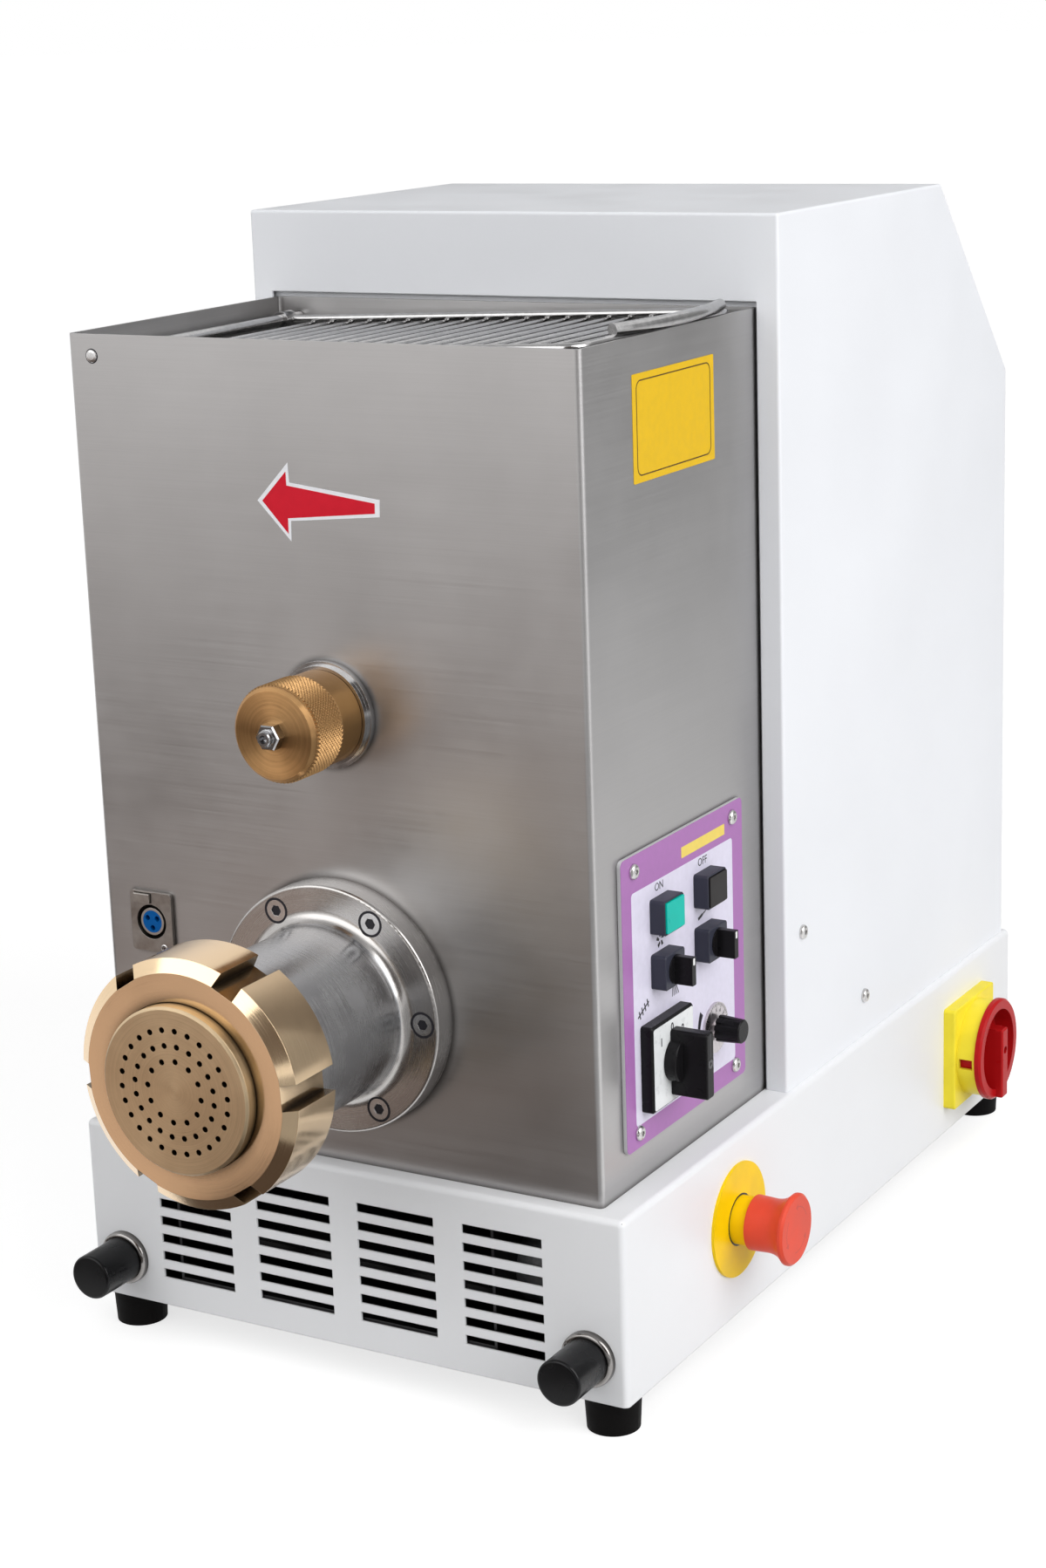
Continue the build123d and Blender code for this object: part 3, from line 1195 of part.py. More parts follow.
LID_BAR_FRONT = LID_FRONT_Y - LID_FRAME_R
LID_BAR_BACK = LID_BACK_Y + LID_FRAME_R
with BuildPart() as lid_grille:
    with BuildLine(LID_PLANE) as lid_path:
        FilletPolyline(
            (0, LID_BACK_Y),
            (LID_SPAN, LID_BACK_Y),
            (LID_SPAN, LID_FRONT_Y),
            (0, LID_FRONT_Y),
            radius=LID_BEND_R,
        )
    with BuildSketch(Plane((LID_X, LID_BACK_Y, LID_Z), x_dir=(0, 1, 0), z_dir=LID_SLOPE)):
        Circle(LID_FRAME_R)
    sweep(path=lid_path.wires()[0])
    with BuildSketch(Plane((LID_X, LID_BAR_FRONT, LID_Z), x_dir=LID_SLOPE, z_dir=(0, -1, 0))):
        for bar in range(LID_BARS):
            with Locations((LID_BAR_FIRST + LID_BAR_PITCH * bar, -LID_BAR_SINK)):
                Circle(LID_BAR_R)
    extrude(amount=LID_BAR_FRONT - LID_BAR_BACK)
    handle_back = LID_BACK_Y - LID_HANDLE_BACK
    handle_front = handle_back - LID_HANDLE_L
    handle_middle = (handle_back + handle_front) / 2
    with BuildLine(Plane.XY.offset(LID_HANDLE_Z)) as handle_path:
        ThreePointArc(
            (LID_SIDE_X, handle_front),
            (LID_SIDE_X + LID_HANDLE_BOW, handle_middle),
            (LID_SIDE_X, handle_back),
        )
    with BuildSketch(Plane(handle_path.line @ 0, z_dir=handle_path.line % 0)):
        Circle(LID_HANDLE_R)
    sweep(path=handle_path.line)
    for boss_front in (LID_BAR_FRONT, LID_BAR_BACK - LID_BOSS_L):
        with BuildSketch(front_plane(boss_front)):
            with Locations((LID_X, LID_Z)):
                Circle(LID_BOSS_R)
        extrude(amount=-LID_BOSS_L)
    with BuildSketch(front_plane(HOPPER_FRONT)):
        with Locations((LID_X, LID_Z)):
            Circle(LID_ROD_R + SEAT_FIT)
    extrude(amount=-HOPPER_D, mode=Mode.SUBTRACT)
save(lid_grille, "lid_grille")

# Lid pivot rod: turns with the lid, and its cam behind the bulkhead works the safety switch
LID_CAM_FRONT = BULKHEAD_BACK + BODY_GAP
with BuildPart() as lid_pivot_rod:
    with BuildSketch(front_plane(HOPPER_FRONT)):
        with Locations((LID_X, LID_Z)):
            Circle(LID_ROD_R)
    extrude(amount=HOPPER_FRONT - LID_CAM_FRONT - LID_CAM_T)
    with BuildSketch(front_plane(LID_CAM_FRONT)):
        with Locations((LID_X, LID_Z)):
            Circle(LID_CAM_R)
        with Locations((LID_X + LID_CAM_FLAT + LID_CAM_R, LID_Z)):
            Rectangle(2 * LID_CAM_R, 2 * LID_CAM_R, mode=Mode.SUBTRACT)
    extrude(amount=-LID_CAM_T)
save(lid_pivot_rod, "lid_pivot_rod")

# Lid switch: safety switch beside the cam
with BuildPart() as lid_switch:
    with BuildSketch(front_plane(BULKHEAD_BACK)):
        with Locations((LID_X + LID_CAM_R + BODY_GAP + LID_SWITCH_W / 2, LID_Z)):
            Rectangle(LID_SWITCH_W, LID_SWITCH_H)
    extrude(amount=-LID_SWITCH_D)
save(lid_switch, "lid_switch")

# Blower: scroll behind the vents, rotor across the base, and its motor on the right
SCROLL_LEFT = FAN_LEFT - SCROLL_END_GAP - SCROLL_T
SCROLL_RIGHT = FAN_RIGHT + SCROLL_END_GAP + SCROLL_T
SCROLL_FRONT = BASE_FRONT + PAINT_SHEET
SCROLL_R = FAN_R + SCROLL_GAP


def scroll_section(radius):
    """The scroll's section, round behind and straight towards the vents, in the open sketch."""
    mouth = FAN_Y - SCROLL_FRONT
    with Locations((FAN_Y, FAN_Z)):
        Circle(radius)
    with Locations((FAN_Y - mouth / 2, FAN_Z)):
        Rectangle(mouth, 2 * radius)


with BuildPart() as fan_scroll:
    with BuildSketch(side_plane(SCROLL_LEFT)):
        scroll_section(SCROLL_R + SCROLL_T)
    extrude(amount=SCROLL_RIGHT - SCROLL_LEFT)
    end_top = FAN_Z + SCROLL_R + SCROLL_T
    end_back = FAN_Y + SCROLL_R + SCROLL_T
    for end_x in (SCROLL_LEFT, SCROLL_RIGHT - SCROLL_T):
        with BuildSketch(side_plane(end_x)):
            with Locations(((SCROLL_FRONT + end_back) / 2, (FLOOR_TOP + end_top) / 2)):
                Rectangle(end_back - SCROLL_FRONT, end_top - FLOOR_TOP)
        extrude(amount=SCROLL_T)
    with BuildSketch(side_plane(SCROLL_LEFT + SCROLL_T)):
        scroll_section(SCROLL_R)
    extrude(amount=SCROLL_RIGHT - SCROLL_LEFT - 2 * SCROLL_T, mode=Mode.SUBTRACT)
    with BuildSketch(side_plane(SCROLL_LEFT)):
        with Locations((FAN_Y, FAN_Z)):
            Circle(FAN_SHAFT_R + RUN_FIT)
    extrude(amount=SCROLL_RIGHT - SCROLL_LEFT, mode=Mode.SUBTRACT)
save(fan_scroll, "fan_scroll")

with BuildPart() as fan_rotor:
    with BuildSketch(side_plane(FAN_LEFT)):
        with Locations((FAN_Y, FAN_Z)):
            with PolarLocations(FAN_R - FAN_BLADE_W / 2 - BODY_GAP, FAN_BLADES):
                Rectangle(FAN_BLADE_W, FAN_BLADE_T, rotation=FAN_BLADE_TILT)
    extrude(amount=FAN_RIGHT - FAN_LEFT)
    for disc_x in (FAN_LEFT, FAN_RIGHT - FAN_DISC_T):
        with BuildSketch(side_plane(disc_x)):
            with Locations((FAN_Y, FAN_Z)):
                Circle(FAN_R)
        extrude(amount=FAN_DISC_T)
    with BuildSketch(side_plane(SCROLL_LEFT)):
        with Locations((FAN_Y, FAN_Z)):
            Circle(FAN_SHAFT_R)
    extrude(amount=SCROLL_RIGHT - SCROLL_LEFT + FAN_MOTOR_L / 2)
save(fan_rotor, "fan_rotor")

with BuildPart() as fan_motor:
    with BuildSketch(side_plane(SCROLL_RIGHT)):
        with Locations((FAN_Y, FAN_Z)):
            Circle(FAN_MOTOR_R)
    extrude(amount=FAN_MOTOR_L)
    with BuildSketch(side_plane(SCROLL_RIGHT)):
        with Locations((FAN_Y, FAN_Z)):
            Circle(FAN_SHAFT_R + RUN_FIT)
    extrude(amount=FAN_MOTOR_L / 2 + BODY_GAP, mode=Mode.SUBTRACT)
save(fan_motor, "fan_motor")

# Contactor: stands on the bottom plate under the wiring hole
with BuildPart() as contactor:
    with BuildSketch(Plane.XY.offset(FLOOR_TOP)):
        with Locations((CONTACTOR_X, CONTACTOR_Y)):
            Rectangle(CONTACTOR_W, CONTACTOR_D)
    extrude(amount=CONTACTOR_H)
save(contactor, "contactor")

# Cable gland: in the base's back, for the mains cord
with BuildPart() as cable_gland:
    gland_z = BASE_BOTTOM + GLAND_RISE
    with BuildSketch(front_plane(BASE_BACK)):
        with Locations((GLAND_X, gland_z)):
            RegularPolygon(GLAND_AF / 2, HEX_SIDES, major_radius=False)
    extrude(amount=-GLAND_HEX_T)
    with BuildSketch(front_plane(BASE_BACK + GLAND_HEX_T)):
        with Locations((GLAND_X, gland_z)):
            Circle(GLAND_AF / 2 - BODY_GAP)
    extrude(amount=-GLAND_DOME_L)
    fillet(cable_gland.edges().sort_by(Axis.Y)[-1], GLAND_DOME_L / 2)
    with BuildSketch(front_plane(BASE_BACK)):
        with Locations((GLAND_X, gland_z)):
            Circle(GLAND_THREAD_R)
    extrude(amount=GLAND_THREAD_L)
    with BuildSketch(front_plane(BASE_BACK - PAINT_SHEET)):
        with Locations((GLAND_X, gland_z)):
            RegularPolygon(GLAND_AF / 2, HEX_SIDES, major_radius=False)
    extrude(amount=GLAND_NUT_T)
    with BuildSketch(front_plane(BASE_BACK - GLAND_THREAD_L)):
        with Locations((GLAND_X, gland_z)):
            Circle(GLAND_BORE_R)
    extrude(amount=-GLAND_THREAD_L - GLAND_HEX_T - GLAND_DOME_L, mode=Mode.SUBTRACT)
save(cable_gland, "cable_gland")

# Control panel plate on the hopper's right side
with BuildPart() as panel_plate:
    with BuildSketch(side_plane(HOPPER_RIGHT)):
        with Locations(PANEL_AT):
            RectangleRounded(PANEL_W, PANEL_H, PANEL_CORNER_R)
    extrude(amount=PANEL_T)
    with BuildSketch(side_plane(HOPPER_RIGHT)):
        panel_holes()
    extrude(amount=PANEL_T, mode=Mode.SUBTRACT)
save(panel_plate, "panel_plate")


def screws_on(plane, places):
    """Dome-head socket screws that stand on a plane."""
    with BuildPart() as screws:
        with BuildSketch(plane):
            with Locations(*places):
                Circle(DOME_R)
        extrude(amount=DOME_H)
        rims = screws.edges().filter_by(GeomType.CIRCLE)
        rims = rims.filter_by(lambda e: plane.to_local_coords(e.center()).Z > DOME_H / 2)
        fillet(rims, DOME_ROUND)
        with BuildSketch(plane):
            with Locations(*places):
                Circle(DOME_SHANK_R)
        extrude(amount=-DOME_SHANK_L)
        with BuildSketch(plane.offset(DOME_H)):
            with Locations(*places):
                RegularPolygon(DOME_SOCKET_AF / 2, HEX_SIDES, major_radius=False)
        extrude(amount=-DOME_SOCKET_D, mode=Mode.SUBTRACT)
    return screws.part


# Dome screws: those of the control panel, of the housing's sides and of the back panel
RIGHT_SIDE = side_plane(HOUSING_W / 2)
LEFT_SIDE = Plane((-HOUSING_W / 2, 0, 0), x_dir=(0, -1, 0), z_dir=(-1, 0, 0))
BACK_SIDE = Plane((0, HOUSING_BACK + STEEL_SHEET, 0), x_dir=(-1, 0, 0), z_dir=(0, 1, 0))
panel_dy = PANEL_SCREW_DY / 2
panel_dz = PANEL_SCREW_DZ / 2
panel_corners = [(PANEL_AT[0] + i * panel_dy, PANEL_AT[1] + j * panel_dz) for i in (-1, 1) for j in (-1, 1)]
back_dx = (BACK_PANEL_W - BACK_PANEL_LAP) / 2
back_dz = (BACK_PANEL_H - BACK_PANEL_LAP) / 2
back_corners = [(i * back_dx, BACK_PANEL_Z + j * back_dz) for i in (-1, 1) for j in (-1, 1)]
right_places = [(HOUSING_FRONT + back, BASE_TOP + up) for back, up in HOUSING_SCREWS]
left_places = [(-y, z) for y, z in right_places]
panel_screws = screws_on(side_plane(PANEL_FACE), panel_corners)
right_screws = screws_on(RIGHT_SIDE, right_places)
left_screws = screws_on(LEFT_SIDE, left_places)
back_screws = screws_on(BACK_SIDE, back_corners)
with BuildPart() as dome_screws:
    add(panel_screws)
    add(right_screws)
    add(left_screws)
    add(back_screws)
save(dome_screws, "dome_screws")

# Switch housings: the two push buttons and the two selectors, with their contact blocks
SWITCH_POCKET_W = SWITCH_W - 2 * SWITCH_WALL
SWITCH_POCKET_H = SWITCH_H - 2 * SWITCH_WALL
SWITCH_POCKET_R = SWITCH_EDGE_R - SWITCH_WALL
with BuildPart() as switch_housings:
    with BuildSketch(side_plane(PANEL_FACE)):
        with Locations(*SWITCHES_AT):
            RectangleRounded(SWITCH_W, SWITCH_H, SWITCH_EDGE_R)
    extrude(amount=SWITCH_T)
    chamfer(switch_housings.faces().group_by(Axis.X)[-1].edges(), SWITCH_CHAMFER)
    with BuildSketch(side_plane(PANEL_FACE)):
        with Locations(*SWITCHES_AT):
            Circle(SWITCH_NECK_R)
    extrude(amount=INNER_RIGHT - PANEL_FACE)
    with BuildSketch(side_plane(INNER_RIGHT)):
        with Locations(*SWITCHES_AT):
            Rectangle(BLOCK_W, BLOCK_H)
    extrude(amount=-BLOCK_L)
    with BuildSketch(side_plane(SWITCH_FACE)):
        with Locations(START_AT, STOP_AT):
            RectangleRounded(SWITCH_POCKET_W, SWITCH_POCKET_H, SWITCH_POCKET_R)
        with Locations(FAN_SELECTOR_AT, KNIFE_SELECTOR_AT):
            Circle(LEVER_HUB_R + SLIDE_FIT)
    extrude(amount=-SWITCH_POCKET_D, mode=Mode.SUBTRACT)
    with BuildSketch(side_plane(SWITCH_FACE)):
        with Locations(*SWITCHES_AT):
            Circle(BUTTON_STEM_R + RUN_FIT)
    extrude(amount=-BUTTON_STEM_L - BUTTON_TRAVEL - BODY_GAP, mode=Mode.SUBTRACT)
save(switch_housings, "switch_housings")


def push_button(place):
    """A square button cap with its stem."""
    cap_face = side_plane(SWITCH_FACE + BUTTON_PROUD)
    cap_w = SWITCH_POCKET_W - 2 * SLIDE_FIT
    cap_h = SWITCH_POCKET_H - 2 * SLIDE_FIT
    with BuildPart() as button:
        with BuildSketch(cap_face):
            with Locations(place):
                RectangleRounded(cap_w, cap_h, SWITCH_POCKET_R)
        extrude(amount=-BUTTON_T)
        with BuildSketch(cap_face):
            with Locations(place):
                Circle(BUTTON_STEM_R)
        extrude(amount=-BUTTON_PROUD - BUTTON_STEM_L)
    return button


def selector_lever(place):
    """A selector's hub, stem and upright lever."""
    lever_back = SWITCH_FACE + REST_GAP
    with BuildPart() as lever:
        with BuildSketch(side_plane(lever_back)):
            with Locations(place):
                Circle(LEVER_HUB_R)
        extrude(amount=-SWITCH_POCKET_D)
        with BuildSketch(side_plane(lever_back)):
            with Locations(place):
                RectangleRounded(LEVER_T, LEVER_H, SWITCH_CHAMFER)
        extrude(amount=LEVER_PROUD - REST_GAP)
        with BuildSketch(side_plane(lever_back)):
            with Locations(place):
                Circle(BUTTON_STEM_R)
        extrude(amount=-REST_GAP - BUTTON_STEM_L)
    return lever


# Start and stop buttons
start_button = push_button(START_AT)
save(start_button, "start_button")

stop_button = push_button(STOP_AT)
save(stop_button, "stop_button")

# Selector levers for the fan and for the cutting knife
fan_selector_lever = selector_lever(FAN_SELECTOR_AT)
save(fan_selector_lever, "fan_selector_lever")

knife_selector_lever = selector_lever(KNIFE_SELECTOR_AT)
save(knife_selector_lever, "knife_selector_lever")

# Cam switch: square plate with the contact block behind the hopper's wall, and a handle
with BuildPart() as cam_switch_plate:
    with BuildSketch(side_plane(PANEL_FACE)):
        with Locations(CAM_AT):
            RectangleRounded(CAM_SIZE, CAM_SIZE, CAM_CORNER_R)
    extrude(amount=CAM_T)
    chamfer(cam_switch_plate.faces().sort_by(Axis.X)[-1].edges(), CAM_EDGE)
    with BuildSketch(side_plane(PANEL_FACE)):
        with Locations(CAM_AT):
            Circle(CAM_NECK_R)
    extrude(amount=INNER_RIGHT - PANEL_FACE)
    with BuildSketch(side_plane(INNER_RIGHT)):
        with Locations(CAM_AT):
            Rectangle(CAM_BLOCK, CAM_BLOCK)
    extrude(amount=-CAM_BLOCK_L)
    with BuildSketch(side_plane(CAM_FACE)):
        with Locations(CAM_AT):
            Circle(CAM_STEM_R + RUN_FIT)
    extrude(amount=-CAM_STEM_L - BODY_GAP, mode=Mode.SUBTRACT)
save(cam_switch_plate, "cam_switch_plate")

with BuildPart() as cam_switch_handle:
    hub_back = side_plane(CAM_FACE + REST_GAP)
    with BuildSketch(hub_back):
        with Locations(CAM_AT):
            Circle(CAM_HUB_R)
    extrude(amount=CAM_HUB_T)
    fillet(cam_switch_handle.faces().sort_by(Axis.X)[-1].edges(), CAM_EDGE)
    with BuildSketch(hub_back):
        with Locations((CAM_AT[0], CAM_AT[1] + CAM_BLADE_H / 2 - CAM_BLADE_LOW)):
            RectangleRounded(CAM_BLADE_T, CAM_BLADE_H, CAM_CORNER_R)
    extrude(amount=CAM_BLADE_PROUD - REST_GAP)
    fillet(cam_switch_handle.faces().sort_by(Axis.X)[-1].edges(), CAM_EDGE)
    with BuildSketch(hub_back):
        with Locations(CAM_AT):
            Circle(CAM_STEM_R)
    extrude(amount=-REST_GAP - CAM_STEM_L)
save(cam_switch_handle, "cam_switch_handle")

# Speed control: dial on the panel with the control's body behind, and a fluted knob
with BuildPart() as speed_dial:
    bush_front = PANEL_FACE + DIAL_T + DIAL_BUSH_T
    with BuildSketch(side_plane(PANEL_FACE)):
        with Locations(DIAL_AT):
            Circle(DIAL_R)
    extrude(amount=DIAL_T)
    with BuildSketch(side_plane(INNER_RIGHT)):
        with Locations(DIAL_AT):
            Circle(DIAL_BUSH_R)
    extrude(amount=bush_front - INNER_RIGHT)
    with BuildSketch(side_plane(INNER_RIGHT)):
        with Locations(DIAL_AT):
            Circle(POT_R)
    extrude(amount=-POT_L)
    with BuildSketch(side_plane(bush_front)):
        with Locations(DIAL_AT):
            Circle(SPEED_STEM_R + RUN_FIT)
    extrude(amount=-SPEED_STEM_L - BODY_GAP, mode=Mode.SUBTRACT)
save(speed_dial, "speed_dial")

with BuildPart() as speed_knob:
    knob_x = bush_front + REST_GAP
    tip_x = knob_x + SPEED_KNOB_L
    with BuildSketch(cross_plane(*DIAL_AT)):
        outline(
            (
                (bush_front - SPEED_STEM_L, 0),
                (bush_front - SPEED_STEM_L, SPEED_STEM_R),
                (knob_x, SPEED_STEM_R),
                (knob_x, SPEED_KNOB_R),
                (tip_x - SPEED_EDGE, SPEED_KNOB_TIP_R),
                (tip_x, SPEED_KNOB_TIP_R - SPEED_EDGE),
                (tip_x, 0),
            )
        )
    revolve(axis=cross_axis(*DIAL_AT))
    with BuildSketch(side_plane(knob_x)):
        with Locations(DIAL_AT):
            with PolarLocations(SPEED_KNOB_R, SPEED_KNOB_FLUTES):
                Circle(SPEED_FLUTE_R)
    extrude(amount=SPEED_KNOB_L, mode=Mode.SUBTRACT)
save(speed_knob, "speed_knob")

# Accessory connector: flange with its socket, the contact insert and the latch
CONNECTOR_FACE = HOPPER_FRONT - CONNECTOR_T
CONNECTOR_AT = (CONNECTOR_X, CONNECTOR_Z)
LATCH_AT = (CONNECTOR_X - LATCH_SIDE, CONNECTOR_Z + LATCH_RISE)
with BuildPart() as connector_flange:
    with BuildSketch(front_plane(HOPPER_FRONT)):
        with Locations(CONNECTOR_AT):
            RectangleRounded(CONNECTOR_W, CONNECTOR_H, CONNECTOR_CORNER_R)
    extrude(amount=CONNECTOR_T)
    with BuildSketch(front_plane(HOPPER_FRONT)):
        with Locations(CONNECTOR_AT):
            Circle(CONNECTOR_BARREL_R)
    extrude(amount=-CONNECTOR_BARREL_L)
    with BuildSketch(front_plane(CONNECTOR_FACE)):
        with Locations(CONNECTOR_AT):
            Circle(CONNECTOR_MOUTH_R)
    extrude(amount=-CONNECTOR_MOUTH_D, mode=Mode.SUBTRACT)
    with BuildSketch(front_plane(CONNECTOR_FACE)):
        with Locations(LATCH_AT):
            Rectangle(LATCH_W + 2 * SLIDE_FIT, LATCH_H + 2 * SLIDE_FIT)
    extrude(amount=-CONNECTOR_T, mode=Mode.SUBTRACT)
save(connector_flange, "connector_flange")

with BuildPart() as connector_insert:
    with BuildSketch(front_plane(CONNECTOR_FACE + CONNECTOR_MOUTH_D)):
        with Locations(CONNECTOR_AT):
            Circle(INSERT_R)
    extrude(amount=CONNECTOR_MOUTH_D - INSERT_SETBACK)
    with BuildSketch(front_plane(CONNECTOR_FACE + INSERT_SETBACK)):
        with Locations(CONNECTOR_AT):
            with PolarLocations(CONTACT_PCD / 2, CONTACTS, start_angle=270):
                Circle(CONTACT_R)
    extrude(amount=-CONTACT_D, mode=Mode.SUBTRACT)
save(connector_insert, "connector_insert")

with BuildPart() as connector_latch:
    with BuildSketch(front_plane(CONNECTOR_FACE - LATCH_T)):
        with Locations(LATCH_AT):
            Rectangle(LATCH_W, LATCH_H)
    extrude(amount=-LATCH_T - CONNECTOR_T + LATCH_TRAVEL + REST_GAP)
    fillet(connector_latch.faces().sort_by(Axis.Y)[0].edges(), SLIDE_FIT)
save(connector_latch, "connector_latch")

# Emergency stop: yellow disc, body, plunger and mushroom head
ESTOP_AT = (ESTOP_Y, ESTOP_Z)
ESTOP_DISC = BASE_RIGHT + ESTOP_PLATE_T
ESTOP_FRONT = ESTOP_DISC + ESTOP_NECK_L
with BuildPart() as estop_plate:
    with BuildSketch(side_plane(BASE_RIGHT)):
        with Locations(ESTOP_AT):
            Circle(ESTOP_PLATE_R)
            Circle(ESTOP_THREAD_R + SEAT_FIT, mode=Mode.SUBTRACT)
    extrude(amount=ESTOP_PLATE_T)
save(estop_plate, "estop_plate")

with BuildPart() as estop_body:
    with BuildSketch(side_plane(ESTOP_DISC)):
        with Locations(ESTOP_AT):
            Circle(ESTOP_NECK_R)
    extrude(amount=ESTOP_NECK_L)
    with BuildSketch(side_plane(ESTOP_DISC)):
        with Locations(ESTOP_AT):
            Circle(ESTOP_THREAD_R)
    extrude(amount=-ESTOP_PLATE_T - PAINT_SHEET)
    with BuildSketch(side_plane(BASE_RIGHT - PAINT_SHEET)):
        with Locations(ESTOP_AT):
            Rectangle(ESTOP_BLOCK_W, ESTOP_BLOCK_H)
    extrude(amount=-ESTOP_BLOCK_L)
    with BuildSketch(side_plane(ESTOP_FRONT)):
        with Locations(ESTOP_AT):
            Circle(ESTOP_PLUNGER_R + RUN_FIT)
    bore_depth = ESTOP_FRONT - BASE_RIGHT + ESTOP_PLUNGER_IN + ESTOP_TRAVEL + BODY_GAP
    extrude(amount=-bore_depth, mode=Mode.SUBTRACT)
save(estop_body, "estop_body")

HEAD_BACK = ESTOP_FRONT - HEAD_LAP
HEAD_FRONT = HEAD_BACK + HEAD_L
HEAD_CAVITY = ESTOP_FRONT + ESTOP_TRAVEL + BODY_GAP / 2
HEAD_SEAT = HEAD_FRONT - HEAD_EDGE_R - BODY_GAP
with BuildPart() as estop_plunger:
    with BuildSketch(side_plane(BASE_RIGHT - ESTOP_PLUNGER_IN)):
        with Locations(ESTOP_AT):
            Circle(ESTOP_PLUNGER_R)
    extrude(amount=HEAD_SEAT - REST_GAP - BASE_RIGHT + ESTOP_PLUNGER_IN)
save(estop_plunger, "estop_plunger")

with BuildPart() as estop_mushroom:
    skirt_in = HEAD_SKIRT_R - HEAD_WALL
    waist_x = HEAD_CAVITY + HEAD_EDGE_R
    waist = (waist_x, HEAD_WAIST_R)
    lip = (HEAD_FRONT - HEAD_EDGE_R, HEAD_R)
    with BuildSketch(cross_plane(ESTOP_Y, ESTOP_Z)):
        with BuildLine():
            Polyline((HEAD_BACK, skirt_in), (HEAD_BACK, HEAD_SKIRT_R), waist)
            TangentArc(waist, lip, tangent=(1, 0))
            Polyline(
                lip,
                (HEAD_FRONT - HEAD_EDGE_R / 2, HEAD_R),
                (HEAD_FRONT, HEAD_R - HEAD_EDGE_R / 2),
                (HEAD_FRONT, 0),
                (HEAD_SEAT, 0),
                (HEAD_SEAT, ESTOP_PLUNGER_R + RUN_FIT),
                (HEAD_CAVITY, ESTOP_PLUNGER_R + RUN_FIT),
                (HEAD_CAVITY, skirt_in),
                (HEAD_BACK, skirt_in),
            )
        make_face()
    revolve(axis=cross_axis(ESTOP_Y, ESTOP_Z))
save(estop_mushroom, "estop_mushroom")

# Main switch: yellow plate with its collar, contact block and lockable handle
MAIN_AT = (MAIN_Y, MAIN_Z)
MAIN_FACE = BASE_RIGHT + MAIN_T
COLLAR_END = MAIN_FACE + MAIN_COLLAR_L
with BuildPart() as main_switch_plate:
    with BuildSketch(side_plane(BASE_RIGHT)):
        with Locations(MAIN_AT):
            RectangleRounded(MAIN_SIZE, MAIN_SIZE, MAIN_EDGE_R)
    extrude(amount=MAIN_T)
    fillet(main_switch_plate.faces().sort_by(Axis.X)[-1].edges(), MAIN_EDGE_R / 2)
    with BuildSketch(side_plane(MAIN_FACE)):
        with Locations(MAIN_AT):
            Circle(MAIN_COLLAR_R)
            Circle(MAIN_CUP_R, mode=Mode.SUBTRACT)
    extrude(amount=MAIN_COLLAR_L)
    with BuildSketch(front_plane(MAIN_Y)):
        with Locations(((MAIN_FACE + COLLAR_END) / 2, MAIN_Z - MAIN_WINDOW_DROP)):
            Rectangle(MAIN_WINDOW_W, MAIN_WINDOW_H)
    extrude(amount=MAIN_COLLAR_R, mode=Mode.SUBTRACT)
    with BuildSketch(side_plane(BASE_RIGHT)):
        with Locations(MAIN_AT):
            Circle(MAIN_STEM_R + BODY_GAP)
    extrude(amount=MAIN_T, mode=Mode.SUBTRACT)
save(main_switch_plate, "main_switch_plate")

with BuildPart() as main_switch_block:
    with BuildSketch(side_plane(BASE_RIGHT - PAINT_SHEET)):
        with Locations(MAIN_AT):
            Rectangle(MAIN_BLOCK, MAIN_BLOCK)
    extrude(amount=-MAIN_BLOCK_L)
    with BuildSketch(side_plane(BASE_RIGHT - PAINT_SHEET)):
        with Locations(MAIN_AT):
            Circle(MAIN_STEM_R + RUN_FIT)
    extrude(amount=-MAIN_BLOCK_L, mode=Mode.SUBTRACT)
save(main_switch_block, "main_switch_block")

